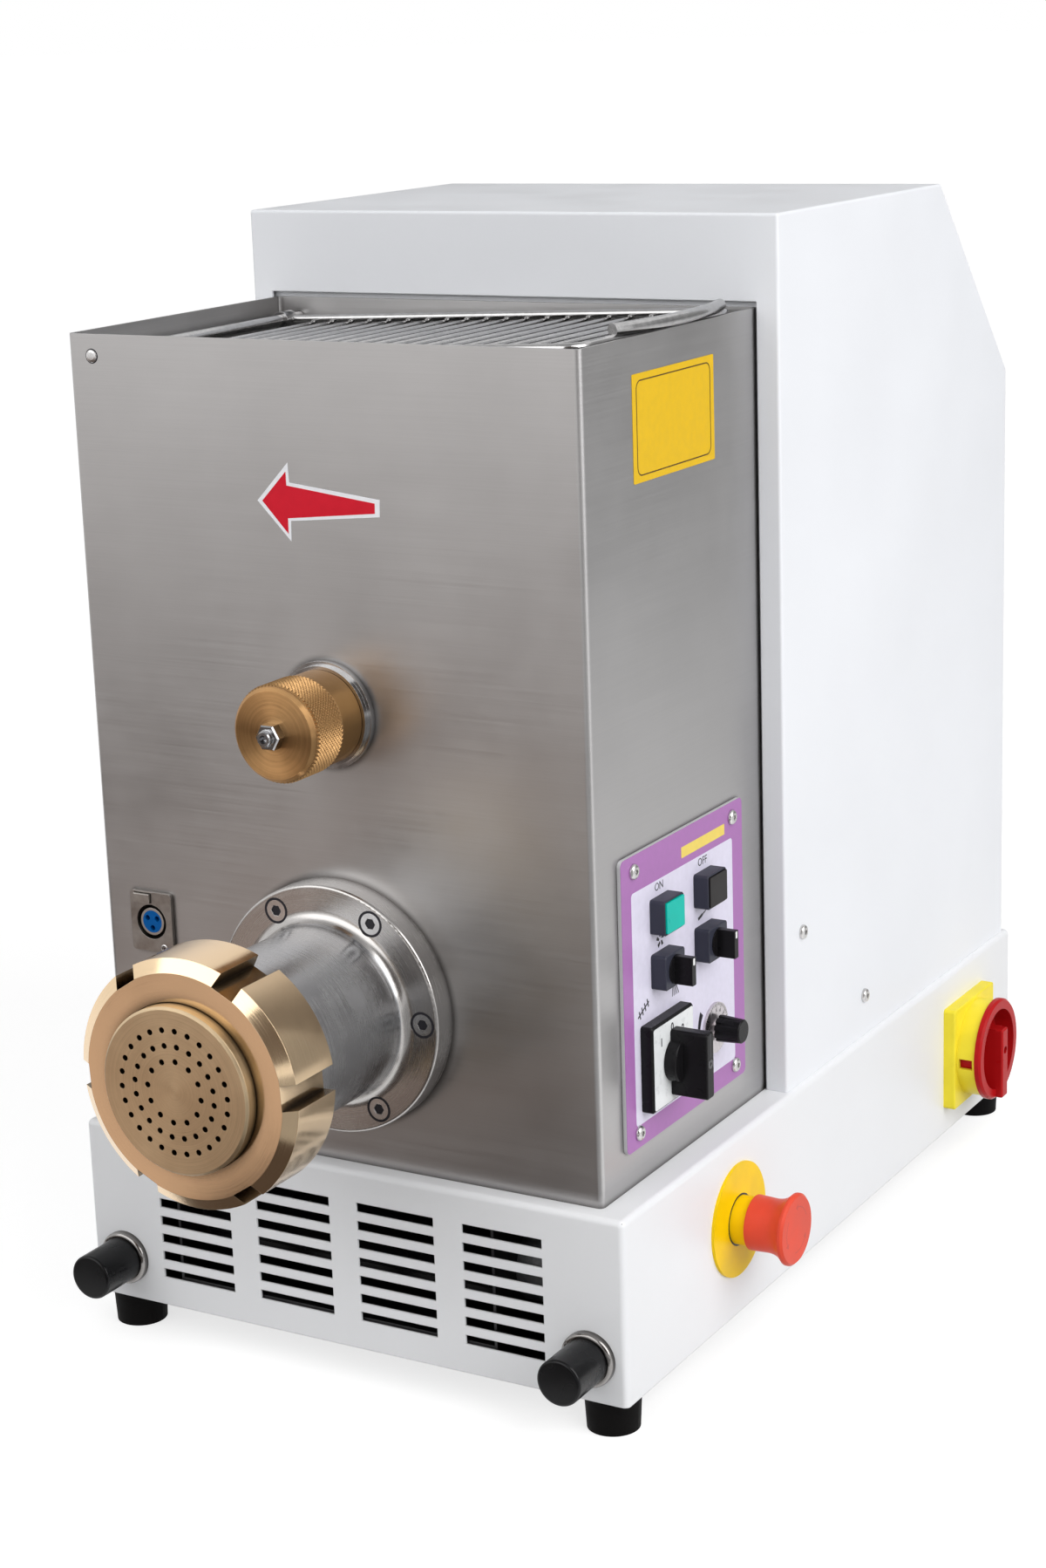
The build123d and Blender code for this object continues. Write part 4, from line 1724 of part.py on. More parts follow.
CUP_BACK = MAIN_FACE + BODY_GAP
RIM_BACK = COLLAR_END + REST_GAP
RIM_FRONT = RIM_BACK + MAIN_RIM_T
with BuildPart() as main_switch_handle:
    with BuildSketch(cross_plane(MAIN_Y, MAIN_Z)):
        outline(
            (
                (CUP_BACK - MAIN_STEM_L, 0),
                (CUP_BACK - MAIN_STEM_L, MAIN_STEM_R),
                (CUP_BACK, MAIN_STEM_R),
                (CUP_BACK, MAIN_CUP_R - SLIDE_FIT),
                (RIM_BACK, MAIN_CUP_R - SLIDE_FIT),
                (RIM_BACK, MAIN_RIM_R),
                (RIM_FRONT - MAIN_BAR_EDGE_R, MAIN_RIM_R),
                (RIM_FRONT, MAIN_RIM_R - MAIN_BAR_EDGE_R),
                (RIM_FRONT, MAIN_RECESS_R),
                (CUP_BACK + MAIN_FLOOR_T, MAIN_RECESS_R),
                (CUP_BACK + MAIN_FLOOR_T, 0),
            )
        )
    revolve(axis=cross_axis(MAIN_Y, MAIN_Z))
    bar_h = MAIN_BAR_TOP + MAIN_BAR_LOW
    bar_front = RIM_FRONT + MAIN_BAR_PROUD
    with BuildSketch(side_plane(RIM_BACK)):
        with Locations((MAIN_Y, MAIN_Z + MAIN_BAR_TOP - bar_h / 2)):
            RectangleRounded(MAIN_BAR_W, bar_h, MAIN_BAR_EDGE_R)
    extrude(amount=bar_front - RIM_BACK)
    fillet(main_switch_handle.faces().sort_by(Axis.X)[-1].edges(), MAIN_BAR_EDGE_R)
    with BuildSketch(side_plane(CUP_BACK)):
        with Locations((MAIN_Y, MAIN_Z + (MAIN_BAR_TOP - MAIN_RECESS_R) / 2)):
            Rectangle(MAIN_BAR_W, MAIN_BAR_TOP + MAIN_RECESS_R)
    extrude(amount=RIM_FRONT - CUP_BACK)
    with BuildSketch(side_plane(bar_front)):
        with Locations(MAIN_AT):
            Circle(MAIN_SCREW_R)
    extrude(amount=-MAIN_SCREW_D, mode=Mode.SUBTRACT)
save(main_switch_handle, "main_switch_handle")

# Tray rods: two rods with black caps that slide out of tubes in the base front
COLLAR_FACE = BASE_FRONT - TRAY_COLLAR_T
CAP_FRONT = COLLAR_FACE - REST_GAP - TRAY_CAP_L
with BuildPart() as tray_guides:
    with BuildSketch(front_plane(BASE_FRONT)):
        with Locations((-TRAY_X, TRAY_Z), (TRAY_X, TRAY_Z)):
            Circle(TRAY_COLLAR_R)
    extrude(amount=TRAY_COLLAR_T)
    fillet(tray_guides.faces().group_by(Axis.Y)[0].edges(), TRAY_COLLAR_T / 2)
    with BuildSketch(front_plane(BASE_FRONT)):
        with Locations((-TRAY_X, TRAY_Z), (TRAY_X, TRAY_Z)):
            Circle(TRAY_TUBE_R)
    extrude(amount=-TRAY_TUBE_L)
    with BuildSketch(front_plane(COLLAR_FACE)):
        with Locations((-TRAY_X, TRAY_Z), (TRAY_X, TRAY_Z)):
            Circle(TRAY_ROD_R + RUN_FIT)
    extrude(amount=-TRAY_TUBE_L - TRAY_COLLAR_T, mode=Mode.SUBTRACT)
save(tray_guides, "tray_guides")


def tray_rod(x):
    """A tray rod."""
    with BuildPart() as rod:
        with BuildSketch(front_plane(CAP_FRONT + TRAY_CAP_FACE)):
            with Locations((x, TRAY_Z)):
                Circle(TRAY_ROD_R)
        extrude(amount=-TRAY_ROD_L)
    return rod


def tray_cap(x):
    """The cap on a tray rod's front end."""
    with BuildPart() as cap:
        with BuildSketch(front_plane(CAP_FRONT)):
            with Locations((x, TRAY_Z)):
                Circle(TRAY_CAP_R)
        extrude(amount=-TRAY_CAP_L)
        fillet(cap.faces().sort_by(Axis.Y)[0].edges(), TRAY_CAP_EDGE_R)
        with BuildSketch(front_plane(CAP_FRONT + TRAY_CAP_FACE)):
            with Locations((x, TRAY_Z)):
                Circle(TRAY_ROD_R + SEAT_FIT)
        extrude(amount=-TRAY_CAP_L, mode=Mode.SUBTRACT)
    return cap


tray_rod_left = tray_rod(-TRAY_X)
save(tray_rod_left, "tray_rod_left")

tray_cap_left = tray_cap(-TRAY_X)
save(tray_cap_left, "tray_cap_left")

tray_rod_right = tray_rod(TRAY_X)
save(tray_rod_right, "tray_rod_right")

tray_cap_right = tray_cap(TRAY_X)
save(tray_cap_right, "tray_cap_right")
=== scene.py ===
"""Looks of the bench-top pasta extruder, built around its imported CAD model."""

import math

import bmesh
import bpy
from mathutils import Matrix, Vector


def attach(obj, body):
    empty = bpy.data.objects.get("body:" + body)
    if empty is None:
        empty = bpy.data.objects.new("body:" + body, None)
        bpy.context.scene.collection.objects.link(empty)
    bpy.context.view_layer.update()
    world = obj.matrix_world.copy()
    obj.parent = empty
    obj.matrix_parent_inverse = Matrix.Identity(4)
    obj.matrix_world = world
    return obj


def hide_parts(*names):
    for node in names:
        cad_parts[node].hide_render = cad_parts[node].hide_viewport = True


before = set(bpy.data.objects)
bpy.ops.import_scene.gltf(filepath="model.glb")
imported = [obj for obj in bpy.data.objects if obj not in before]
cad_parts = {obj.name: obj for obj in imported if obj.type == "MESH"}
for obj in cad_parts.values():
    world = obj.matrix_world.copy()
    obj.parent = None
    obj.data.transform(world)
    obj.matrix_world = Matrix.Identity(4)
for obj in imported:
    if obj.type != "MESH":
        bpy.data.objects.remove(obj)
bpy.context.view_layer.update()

MM = 0.001

# Places of the part in millimetres; a pair is measured on the face that carries the piece
HOPPER_FRONT = -236.0
HOPPER_RIGHT = 140.0
AUGER_Z = 194.8
MIXER_Z = 337.3
PANEL_FACE = 142.0
CAM_FACE = 148.5
CAM_AT = (-177.2, 168.8)
DIAL_FACE = 143.5
DIAL_AT = (-121.5, 165.6)
LEVER_FACE = 159.8
ESTOP_DISC = 157.5
ESTOP_FACE = 188.5
ESTOP_AT = (-127.0, 68.5)
HANDLE_FACE = 168.0
KNOB_FACE = -282.0
FLANGE_FACE = -250.0
FLANGE_SCREW_R = 53.5
FLANGE_SCREWS = 6
CONNECTOR_FACE = -238.2
CONNECTOR_AT = (-111.2, 221.3)
PIVOT_AT = (-126.0, 501.5)

# Boxes and rings, in millimetres, in which a finish has another colour
# Painted shade: the insides of the base pan and of the housing, seen through vents and gaps
BASE_INSIDE_SHADE = ((-154.8, -244.9, 0.0), (154.8, 244.9, 110.9))
HOUSING_SHADE_LOW = ((-151.6, -59.6, 100.0), (151.6, 239.6, 445.5))
HOUSING_SHADE_HIGH = ((-151.6, -59.6, 400.0), (151.6, 141.0, 555.0))
PANEL_EDGE = ((130.0, -230.0, 100.0), (141.85, -70.0, 300.0))
BARREL_TUBE = ((-46.0, -352.0, 148.0), (46.0, -253.5, 242.0))
# Painted reflection: the smooth back of the knob is darker, as where it mirrors the dark hopper
KNOB_BACK_HALF = 24.0
KNOB_BACK_REFLECTION = (
    (-KNOB_BACK_HALF, -258.5, MIXER_Z - KNOB_BACK_HALF),
    (KNOB_BACK_HALF, -230.0, MIXER_Z + KNOB_BACK_HALF),
)
INSERT_RING = (5.75, 7.1)
# Painted shade inside the connector's mouth
CONNECTOR_MOUTH_SHADE = (0.0, 8.86)

# Planes that carry flat pieces: first axis to the right, second up, third outwards
SIDE = Matrix(((0, 0, 1), (1, 0, 0), (0, 1, 0)))
FRONT = Matrix(((1, 0, 0), (0, 0, -1), (0, 1, 0)))

# Sockets of a colour mix
MIX_FACTOR = 0
MIX_FIRST = 6
MIX_SECOND = 7
MIX_COLOUR = 2


def add_node(tree, kind, links=(), **settings):
    """A shader node with its settings, and with a constant or a link for each socket named."""
    made = tree.nodes.new("ShaderNode" + kind)
    for key, value in settings.items():
        setattr(made, key, value)
    for socket, source in links:
        if hasattr(source, "is_output"):
            tree.links.new(source, made.inputs[socket])
        else:
            made.inputs[socket].default_value = source
    return made


class Finish:
    """A Principled material whose colour, gloss and relief vary with procedural noise."""

    BEVEL_SAMPLES = 4
    CREASE_SAMPLES = 8
    CREASE_CLOSED = 0.45

    def __init__(self, name, colour, metallic=0.0, roughness=0.5, **sockets):
        self.material = bpy.data.materials.new(name)
        self.material.use_nodes = True
        self.tree = self.material.node_tree
        self.shader = self.tree.nodes["Principled BSDF"]
        self.colour = colour
        self.normal = None
        self.shader.inputs["Base Color"].default_value = (*colour, 1.0)
        self.shader.inputs["Metallic"].default_value = metallic
        self.shader.inputs["Roughness"].default_value = roughness
        for socket, value in sockets.items():
            self.shader.inputs[socket.replace("_", " ")].default_value = value

    def node(self, kind, links=(), **settings):
        return add_node(self.tree, kind, links, **settings)

    def math(self, operation, first, second):
        return self.node("Math", [(0, first), (1, second)], operation=operation).outputs[0]

    def feed(self, socket, source):
        """Links a source to a socket of the shader."""
        self.tree.links.new(source, self.shader.inputs[socket])

    def coords(self):
        """Coordinates of the part's frame, in metres."""
        return self.node("TexCoord").outputs["Object"]

    def place(self, stretch=(1.0, 1.0, 1.0)):
        """The part's coordinates, stretched along the axes."""
        mapping = self.node("Mapping", [("Vector", self.coords()), ("Scale", stretch)])
        return mapping.outputs["Vector"]

    def shifted(self, middle):
        """The part's coordinates, measured from a place in metres."""
        links = [(0, self.coords()), (1, middle)]
        return self.node("VectorMath", links, operation="SUBTRACT").outputs[0]

    def from_axis(self, x, z):
        """Place from a front-to-back axis, and the distance from it."""
        shift = self.shifted((x * MM, 0.0, z * MM))
        flat = self.node("VectorMath", [(0, shift), (1, (1.0, 0.0, 1.0))], operation="MULTIPLY")
        radius = self.node("VectorMath", [(0, flat.outputs[0])], operation="LENGTH")
        return shift, radius.outputs["Value"]

    def turned_place(self, x, z, ring, patch):
        """Coordinates that follow rings round a front-to-back axis, with slow patches round it."""
        shift, radius = self.from_axis(x, z)
        parts = self.node("SeparateXYZ", [(0, shift)])
        along = self.math("ADD", radius, parts.outputs["Y"])
        ringed = self.math("MULTIPLY", along, ring)
        side_x = self.math("MULTIPLY", parts.outputs["X"], patch)
        side_z = self.math("MULTIPLY", parts.outputs["Z"], patch)
        return self.node("CombineXYZ", [(0, ringed), (1, side_x), (2, side_z)]).outputs[0]

    def noise(self, place, scale, detail=2.0, rough=0.5):
        links = [("Vector", place), ("Scale", scale), ("Detail", detail), ("Roughness", rough)]
        return self.node("TexNoise", links).outputs[0]

    def mean(self, first, second):
        return self.math("MULTIPLY", self.math("ADD", first, second), 0.5)

    def spread(self, source, low, high, start=0.3, end=0.7):
        """Runs from low to high while the source runs from start to end."""
        made = self.node(
            "MapRange",
            [("Value", source), ("From Min", start), ("From Max", end), ("To Min", low), ("To Max", high)],
        )
        return made.outputs[0]

    def tint(self, source, low, high):
        """The colour times a factor between low and high."""
        factor = self.spread(source, low, high)
        scaled = self.node("VectorMath", [(0, self.colour), ("Scale", factor)], operation="SCALE")
        self.feed("Base Color", scaled.outputs[0])

    def gloss(self, source, roughness, less, more):
        """A roughness that varies from less to more than its mean value."""
        self.feed("Roughness", self.spread(source, roughness - less, roughness + more))

    def bend(self, normal):
        """Gives the shader a normal, on which later relief builds."""
        self.normal = normal
        self.feed("Normal", normal)

    def soften(self, radius):
        """Rounds the look of sharp edges, by a radius in millimetres."""
        made = self.node("Bevel", [("Radius", radius * MM)], samples=self.BEVEL_SAMPLES)
        self.bend(made.outputs[0])

    def relief(self, source, depth, strength=1.0):
        """Bump of a depth in millimetres."""
        links = [("Height", source), ("Distance", depth * MM), ("Strength", strength)]
        if self.normal is not None:
            links.append(("Normal", self.normal))
        self.bend(self.node("Bump", links).outputs[0])

    def recolour(self, mask, colour):
        """Another colour where the mask is 1."""
        socket = self.shader.inputs["Base Color"]
        links = [(MIX_FACTOR, mask), (MIX_SECOND, (*colour, 1.0))]
        mixed = self.node("Mix", links, data_type="RGBA")
        if socket.is_linked:
            self.tree.links.new(socket.links[0].from_socket, mixed.inputs[MIX_FIRST])
        else:
            mixed.inputs[MIX_FIRST].default_value = (*self.colour, 1.0)
        self.feed("Base Color", mixed.outputs[MIX_COLOUR])

    def creases(self, reach, colour, open_share=0.8):
        """Painted shade: another colour in notches and corners that are closed in within a distance in
        millimetres.
        """
        hidden = self.node("AmbientOcclusion", [("Distance", reach * MM)], samples=self.CREASE_SAMPLES)
        mask = self.spread(hidden.outputs["AO"], 1.0, 0.0, self.CREASE_CLOSED, open_share)
        self.recolour(mask, colour)

    def inside_box(self, low, high):
        """A mask that is 1 inside a box given in millimetres."""
        middle = tuple((a + b) / 2 * MM for a, b in zip(low, high))
        half = tuple((b - a) / 2 * MM for a, b in zip(low, high))
        away = self.node("VectorMath", [(0, self.shifted(middle))], operation="ABSOLUTE")
        room = self.node("VectorMath", [(0, half), (1, away.outputs[0])], operation="SUBTRACT")
        parts = self.node("SeparateXYZ", [(0, room.outputs[0])])
        least = self.math("MINIMUM", parts.outputs["X"], parts.outputs["Y"])
        least = self.math("MINIMUM", least, parts.outputs["Z"])
        return self.math("GREATER_THAN", least, 0.0)

    def inside_ring(self, x, z, inner, outer):
        """A mask that is 1 between two radii round a front-to-back axis, in millimetres."""
        radius = self.from_axis(x, z)[1]
        past = self.math("GREATER_THAN", radius, inner * MM)
        within = self.math("LESS_THAN", radius, outer * MM)
        return self.math("MULTIPLY", past, within)


def paint(name, colour, roughness=0.36):
    """Satin powder coat: slight orange peel, faint clouding."""
    finish = Finish(name, colour, roughness=roughness, Specular_IOR_Level=0.4)
    finish.soften(radius=0.8)
    clouds = finish.noise(finish.place(), scale=7.0, detail=3.0)
    peel = finish.noise(finish.place(), scale=620.0)
    finish.tint(clouds, low=0.975, high=1.02)
    finish.gloss(finish.noise(finish.place(), scale=26.0, detail=4.0), roughness, less=0.06, more=0.07)
    finish.relief(peel, depth=0.035)
    return finish


def brushed(name, colour, roughness, along=(9.0, 9.0, 1500.0), spread=0.09):
    """Brushed sheet: long fine scratches along one direction, with soft patches."""
    finish = Finish(name, colour, metallic=1.0, roughness=roughness)
    finish.soften(radius=0.2)
    grain = finish.noise(finish.place(along), scale=1.0, detail=4.0, rough=0.65)
    patch = finish.noise(finish.place(), scale=13.0, detail=4.0, rough=0.6)
    both = finish.mean(grain, patch)
    finish.tint(both, 1.0 - spread, 1.0 + spread)
    finish.gloss(both, roughness, less=0.06, more=0.08)
    finish.relief(grain, depth=0.02, strength=0.6)
    return finish


# Turned pieces have their axis in the part's middle plane, and highlights a quarter turn off their rings
MIDDLE_X = 0.0
ACROSS = 0.25
TURNED_PATCH = 16.0


def turned(name, colour, z, roughness=0.28, ring=2300.0, spread=0.12, sheen=0.55):
    """Turned metal: fine rings round a front-to-back axis, with highlights across them."""
    finish = Finish(
        name, colour, metallic=1.0, roughness=roughness, Anisotropic=sheen, Anisotropic_Rotation=ACROSS
    )
    finish.soften(radius=0.2)
    tangent = finish.node("Tangent", direction_type="RADIAL", axis="Y")
    finish.feed("Tangent", tangent.outputs[0])
    ring_place = finish.turned_place(MIDDLE_X, z, ring, TURNED_PATCH)
    rings = finish.noise(ring_place, scale=1.0, detail=3.0, rough=0.7)
    patch = finish.noise(finish.place(), scale=42.0, detail=4.0, rough=0.6)
    both = finish.mean(rings, patch)
    finish.tint(both, 1.0 - spread, 1.0 + spread)
    finish.gloss(both, roughness, less=0.07, more=0.09)
    finish.relief(rings, depth=0.012, strength=0.7)
    return finish


# Patches of gloss on plain metal are this many times as large as its marks
PATCH_SIZE = 4


def metal(name, colour, roughness=0.25, grain=160.0, spread=0.1, depth=0.015, edge=0.3):
    """Plain metal with fine random marks."""
    finish = Finish(name, colour, metallic=1.0, roughness=roughness)
    if edge:
        finish.soften(edge)
    marks = finish.noise(finish.place(), grain, detail=4.0, rough=0.6)
    finish.tint(marks, 1.0 - spread, 1.0 + spread)
    patch = finish.noise(finish.place(), grain / PATCH_SIZE, detail=4.0)
    finish.gloss(patch, roughness, less=0.08, more=0.1)
    finish.relief(marks, depth, strength=0.6)
    return finish


def plastic(name, colour, roughness=0.4, grain=1500.0, spread=0.06, shine=0.3):
    """Moulded plastic: fine spark grain, slight flow clouding."""
    finish = Finish(name, colour, roughness=roughness, Specular_IOR_Level=shine)
    finish.soften(radius=0.4)
    grains = finish.noise(finish.place(), grain)
    clouds = finish.noise(finish.place(), scale=55.0, detail=3.0)
    finish.tint(clouds, 1.0 - spread, 1.0 + spread)
    finish.gloss(clouds, roughness, less=0.05, more=0.06)
    finish.relief(grains, depth=0.02, strength=0.6)
    return finish


def rubber(name, colour, roughness=0.62):
    """Dull rubber with a dusty bloom."""
    finish = Finish(name, colour, roughness=roughness, Specular_IOR_Level=0.06)
    finish.soften(radius=0.6)
    bloom = finish.noise(finish.place(), scale=90.0, detail=5.0, rough=0.65)
    finish.tint(bloom, low=0.75, high=1.35)
    finish.gloss(bloom, roughness, less=0.1, more=0.12)
    finish.relief(finish.noise(finish.place(), scale=900.0), depth=0.05, strength=0.5)
    return finish


def ink(name, colour, roughness=0.45):
    """Printed or film surface with slight unevenness."""
    finish = Finish(name, colour, roughness=roughness, Specular_IOR_Level=0.25)
    weave = finish.noise(finish.place(), scale=260.0, detail=3.0)
    finish.tint(weave, low=0.97, high=1.03)
    finish.gloss(weave, roughness, less=0.05, more=0.05)
    finish.relief(finish.noise(finish.place(), scale=1400.0), depth=0.008, strength=0.5)
    return finish


# Colours that more than one finish or mask shares
WHITE = (0.85, 0.858, 0.878)
COOL_WHITE = (0.855, 0.87, 0.905)
# Near black for painted shade in hollows and insides
PAINTED_SHADE_DARK = (0.012, 0.012, 0.013)
# Grey for the inside of the housing, painted shade
INSIDE_PAINTED_SHADE = (0.25, 0.25, 0.26)

# Finishes with a second colour
base_paint = paint("base_paint", WHITE)
# The inside of the base pan is painted shade, dark as the vents
base_paint.recolour(base_paint.inside_box(*BASE_INSIDE_SHADE), PAINTED_SHADE_DARK)

housing_paint = paint("housing_paint", COOL_WHITE)
# The inside of the housing is painted shade
for inside in (HOUSING_SHADE_LOW, HOUSING_SHADE_HIGH):
    housing_paint.recolour(housing_paint.inside_box(*inside), INSIDE_PAINTED_SHADE)

panel_print = ink("panel_print", (0.4, 0.165, 0.44), roughness=0.34)
panel_print.recolour(panel_print.inside_box(*PANEL_EDGE), (0.6, 0.6, 0.62))

insert_plastic = plastic("blue_insert", (0.0, 0.095, 0.34), roughness=0.35, shine=0.1)
insert_ring = insert_plastic.inside_ring(*CONNECTOR_AT, *INSERT_RING)
insert_plastic.recolour(insert_ring, (0.5, 0.47, 0.44))
insert_plastic.feed("Metallic", insert_ring)

flange_nickel = metal("satin_nickel", (0.36, 0.335, 0.315), roughness=0.36, grain=400.0)
# Painted shade: the connector's mouth is dark where its inner wall lies in shade
flange_nickel.recolour(flange_nickel.inside_ring(*CONNECTOR_AT, *CONNECTOR_MOUTH_SHADE), PAINTED_SHADE_DARK)

TUBE_STRETCH = (60.0, 9.0, 60.0)
barrel_steel = turned("turned_barrel", (0.5, 0.483, 0.47), AUGER_Z, roughness=0.25)
tube_mask = barrel_steel.inside_box(*BARREL_TUBE)
tube_marks = barrel_steel.noise(barrel_steel.place(TUBE_STRETCH), scale=1.0, detail=5.0, rough=0.65)
tube_shade = barrel_steel.spread(tube_marks, low=0.7, high=1.0)
barrel_steel.recolour(barrel_steel.math("MULTIPLY", tube_mask, tube_shade), (0.42, 0.425, 0.44))

knob_brass = turned(
    "knob_brass", (0.48, 0.275, 0.118), MIXER_Z, roughness=0.34, ring=1000.0, spread=0.26, sheen=0.9
)
# Painted reflection of the dark hopper on the knob's smooth back
knob_brass.recolour(knob_brass.inside_box(*KNOB_BACK_REFLECTION), (0.34, 0.19, 0.074))

hopper_steel = brushed("brushed_stainless", (0.485, 0.477, 0.476), roughness=0.36, spread=0.06)
# Painted shade round the collar, flange and connector where they meet the hopper
hopper_steel.creases(reach=5.0, colour=(0.1, 0.092, 0.088), open_share=0.85)

nut_brass = turned("turned_brass", (0.84, 0.635, 0.41), AUGER_Z, roughness=0.13, spread=0.06, sheen=0.0)
# Painted shade in the nut's notches and where the die meets it
nut_brass.creases(reach=14.0, colour=(0.05, 0.036, 0.024), open_share=0.9)

die_bronze = turned("die_bronze", (0.64, 0.49, 0.31), AUGER_Z, roughness=0.34, spread=0.2, sheen=0.3)
# Painted shade in a line round the die
die_bronze.creases(reach=5.0, colour=(0.12, 0.075, 0.04))

tray_chrome = metal(
    "bright_chrome", (0.3, 0.288, 0.28), roughness=0.14, grain=120.0, spread=0.05, depth=0.006
)
# Painted shade outlining the tray guide collars where they meet the base
tray_chrome.creases(reach=6.0, colour=(0.05, 0.045, 0.04), open_share=0.95)

finishes = {
    "painted": paint("painted_sheet", COOL_WHITE),
    "base": base_paint,
    "housing": housing_paint,
    "hopper": hopper_steel,
    "trough": brushed("trough_stainless", (0.62, 0.615, 0.61), roughness=0.3, along=(1500.0, 9.0, 1500.0)),
    "mixer": turned("mixer_steel", (0.5, 0.5, 0.5), MIXER_Z),
    "barrel": barrel_steel,
    "auger": turned("turned_auger", (0.5, 0.49, 0.48), AUGER_Z),
    "collar": metal(
        "collar_steel", (0.48, 0.475, 0.475), roughness=0.18, grain=300.0, spread=0.05, edge=0.15
    ),
    "nut": nut_brass,
    "die": die_bronze,
    "knob": knob_brass,
    "knurl": metal(
        "knurled_brass", (0.36, 0.21, 0.09), roughness=0.38, grain=1500.0, spread=0.05, depth=0.01, edge=0.0
    ),
    "nipple": metal("nipple_zinc", (0.4, 0.4, 0.41), roughness=0.17, grain=260.0, edge=0.0),
    # Dark steel for the bottom plate inside the base and the cam handle's screw: painted shade
    "inner": metal("inner_steel_painted_shade", (0.13, 0.13, 0.135), roughness=0.4),
    "rod": metal("polished_rod", (0.48, 0.475, 0.475), roughness=0.18, grain=300.0),
    "zinc": metal("zinc_steel", (0.62, 0.61, 0.605), roughness=0.24, grain=260.0),
    "steel": metal("machined_steel", (0.42, 0.42, 0.425), roughness=0.32),
    "chrome": tray_chrome,
    "nickel": metal("latch_nickel", (0.4, 0.375, 0.35), roughness=0.33, grain=400.0),
    "flange": flange_nickel,
    "cast": metal("cast_aluminium", (0.2, 0.2, 0.205), roughness=0.5, grain=500.0, spread=0.16, depth=0.08),
    # The fan scroll inside the base is darkened galvanised sheet: painted shade behind the vents
    "painted_shade_galvanised": metal("galvanised_sheet", (0.05, 0.05, 0.052), roughness=0.45, grain=70.0, spread=0.2),
    "rubber": rubber("foot_rubber", (0.004, 0.0036, 0.0036)),
    "black": plastic("black_plastic", (0.009, 0.0085, 0.0095), roughness=0.28, shine=0.13),
    "cap": plastic("cap_plastic", (0.004, 0.004, 0.0048), roughness=0.28, grain=700.0, shine=0.25),
    "grey": plastic("housing_grey", (0.03, 0.032, 0.05), roughness=0.46),
    "green": plastic("green_lens", (0.0, 0.5, 0.41), roughness=0.3, shine=0.1),
    "stop": plastic("stop_lens", (0.016, 0.014, 0.014), roughness=0.35, shine=0.16),
    "insert": insert_plastic,
    "yellow": plastic("switch_yellow", (0.92, 0.77, 0.04), roughness=0.38, shine=0.2),
    "disc": plastic("disc_yellow", (0.95, 0.64, 0.002), roughness=0.4, shine=0.15),
    "red": plastic("switch_red", (0.46, 0.008, 0.01), roughness=0.3, shine=0.1),
    "mushroom": plastic("mushroom_red", (0.76, 0.075, 0.038), roughness=0.36, shine=0.15),
    "panel": panel_print,
    "field": ink("panel_field", (0.74, 0.71, 0.85), roughness=0.34),
    "band": ink("header_yellow", (0.86, 0.66, 0.12), roughness=0.34),
    # Black ink for the printed marks, also used for painted shade in screw gaps, sockets, the cross recess
    # and clearance rings
    "print": ink("black_print_and_painted_shade", (0.02, 0.019, 0.024), roughness=0.4),
    "label": ink("label_yellow", (0.78, 0.485, 0.003), roughness=0.36),
    "label_line": ink("label_line", (0.09, 0.05, 0.008), roughness=0.4),
    "sign_red": ink("sign_red", (0.66, 0.004, 0.022), roughness=0.36),
    "sign_white": ink("sign_white", (0.88, 0.885, 0.92), roughness=0.36),
    "face": ink("switch_face", (0.82, 0.84, 0.85), roughness=0.3),
    "mark": ink("white_mark", (0.9, 0.9, 0.9), roughness=0.3),
    "dial": metal("dial_aluminium", (0.62, 0.58, 0.6), roughness=0.3, grain=500.0),
    "groove": plastic("groove_red", (0.62, 0.06, 0.035), roughness=0.45),
}

NODE_FINISH = {
    "base_pan": "base",
    "bottom_plate": "inner",
    "feet": "rubber",
    "hopper_shell": "hopper",
    "mixing_trough": "trough",
    "rear_housing": "housing",
    "back_panel": "painted",
    "bulkhead": "painted",
    "motor_plate": "steel",
    "standoffs": "zinc",
    "shaft_bearings": "steel",
    "auger_gear": "steel",
    "mixer_gear": "steel",
    "pinion": "steel",
    "gearbox": "cast",
    "motor": "cast",
    "barrel": "barrel",
    "barrel_screws": "zinc",
    "die": "die",
    "ring_nut": "nut",
    "auger": "auger",
    "mixer_shaft": "mixer",
    "knob_collar": "collar",
    "shaft_pin": "collar",
    "knurled_knob": "knob",
    "grease_nipple": "nipple",
    "lid_grille": "rod",
    "lid_pivot_rod": "rod",
    "lid_switch": "black",
    "fan_scroll": "painted_shade_galvanised",
    "fan_rotor": "black",
    "fan_motor": "cast",
    "contactor": "black",
    "cable_gland": "black",
    "panel_plate": "panel",
    "dome_screws": "zinc",
    "switch_housings": "grey",
    "start_button": "green",
    "stop_button": "stop",
    "fan_selector_lever": "black",
    "knife_selector_lever": "black",
    "cam_switch_plate": "black",
    "cam_switch_handle": "black",
    "speed_dial": "dial",
    "speed_knob": "black",
    "connector_flange": "flange",
    "connector_insert": "insert",
    "connector_latch": "nickel",
    "estop_plate": "disc",
    "estop_body": "disc",
    "estop_plunger": "steel",
    "estop_mushroom": "mushroom",
    "main_switch_plate": "yellow",
    "main_switch_block": "black",
    "main_switch_handle": "red",
    "tray_guides": "chrome",
    "tray_rod_left": "chrome",
    "tray_rod_right": "chrome",
    "tray_cap_left": "cap",
    "tray_cap_right": "cap",
}
for node_name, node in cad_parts.items():
    node.data.materials.clear()
    node.data.materials.append(finishes[NODE_FINISH[node_name]].material)


def finished_mesh(shape, name):
    """Turns a drawn shape into a mesh."""
    mesh = bpy.data.meshes.new(name)
    shape.to_mesh(mesh)
    shape.free()
    return mesh


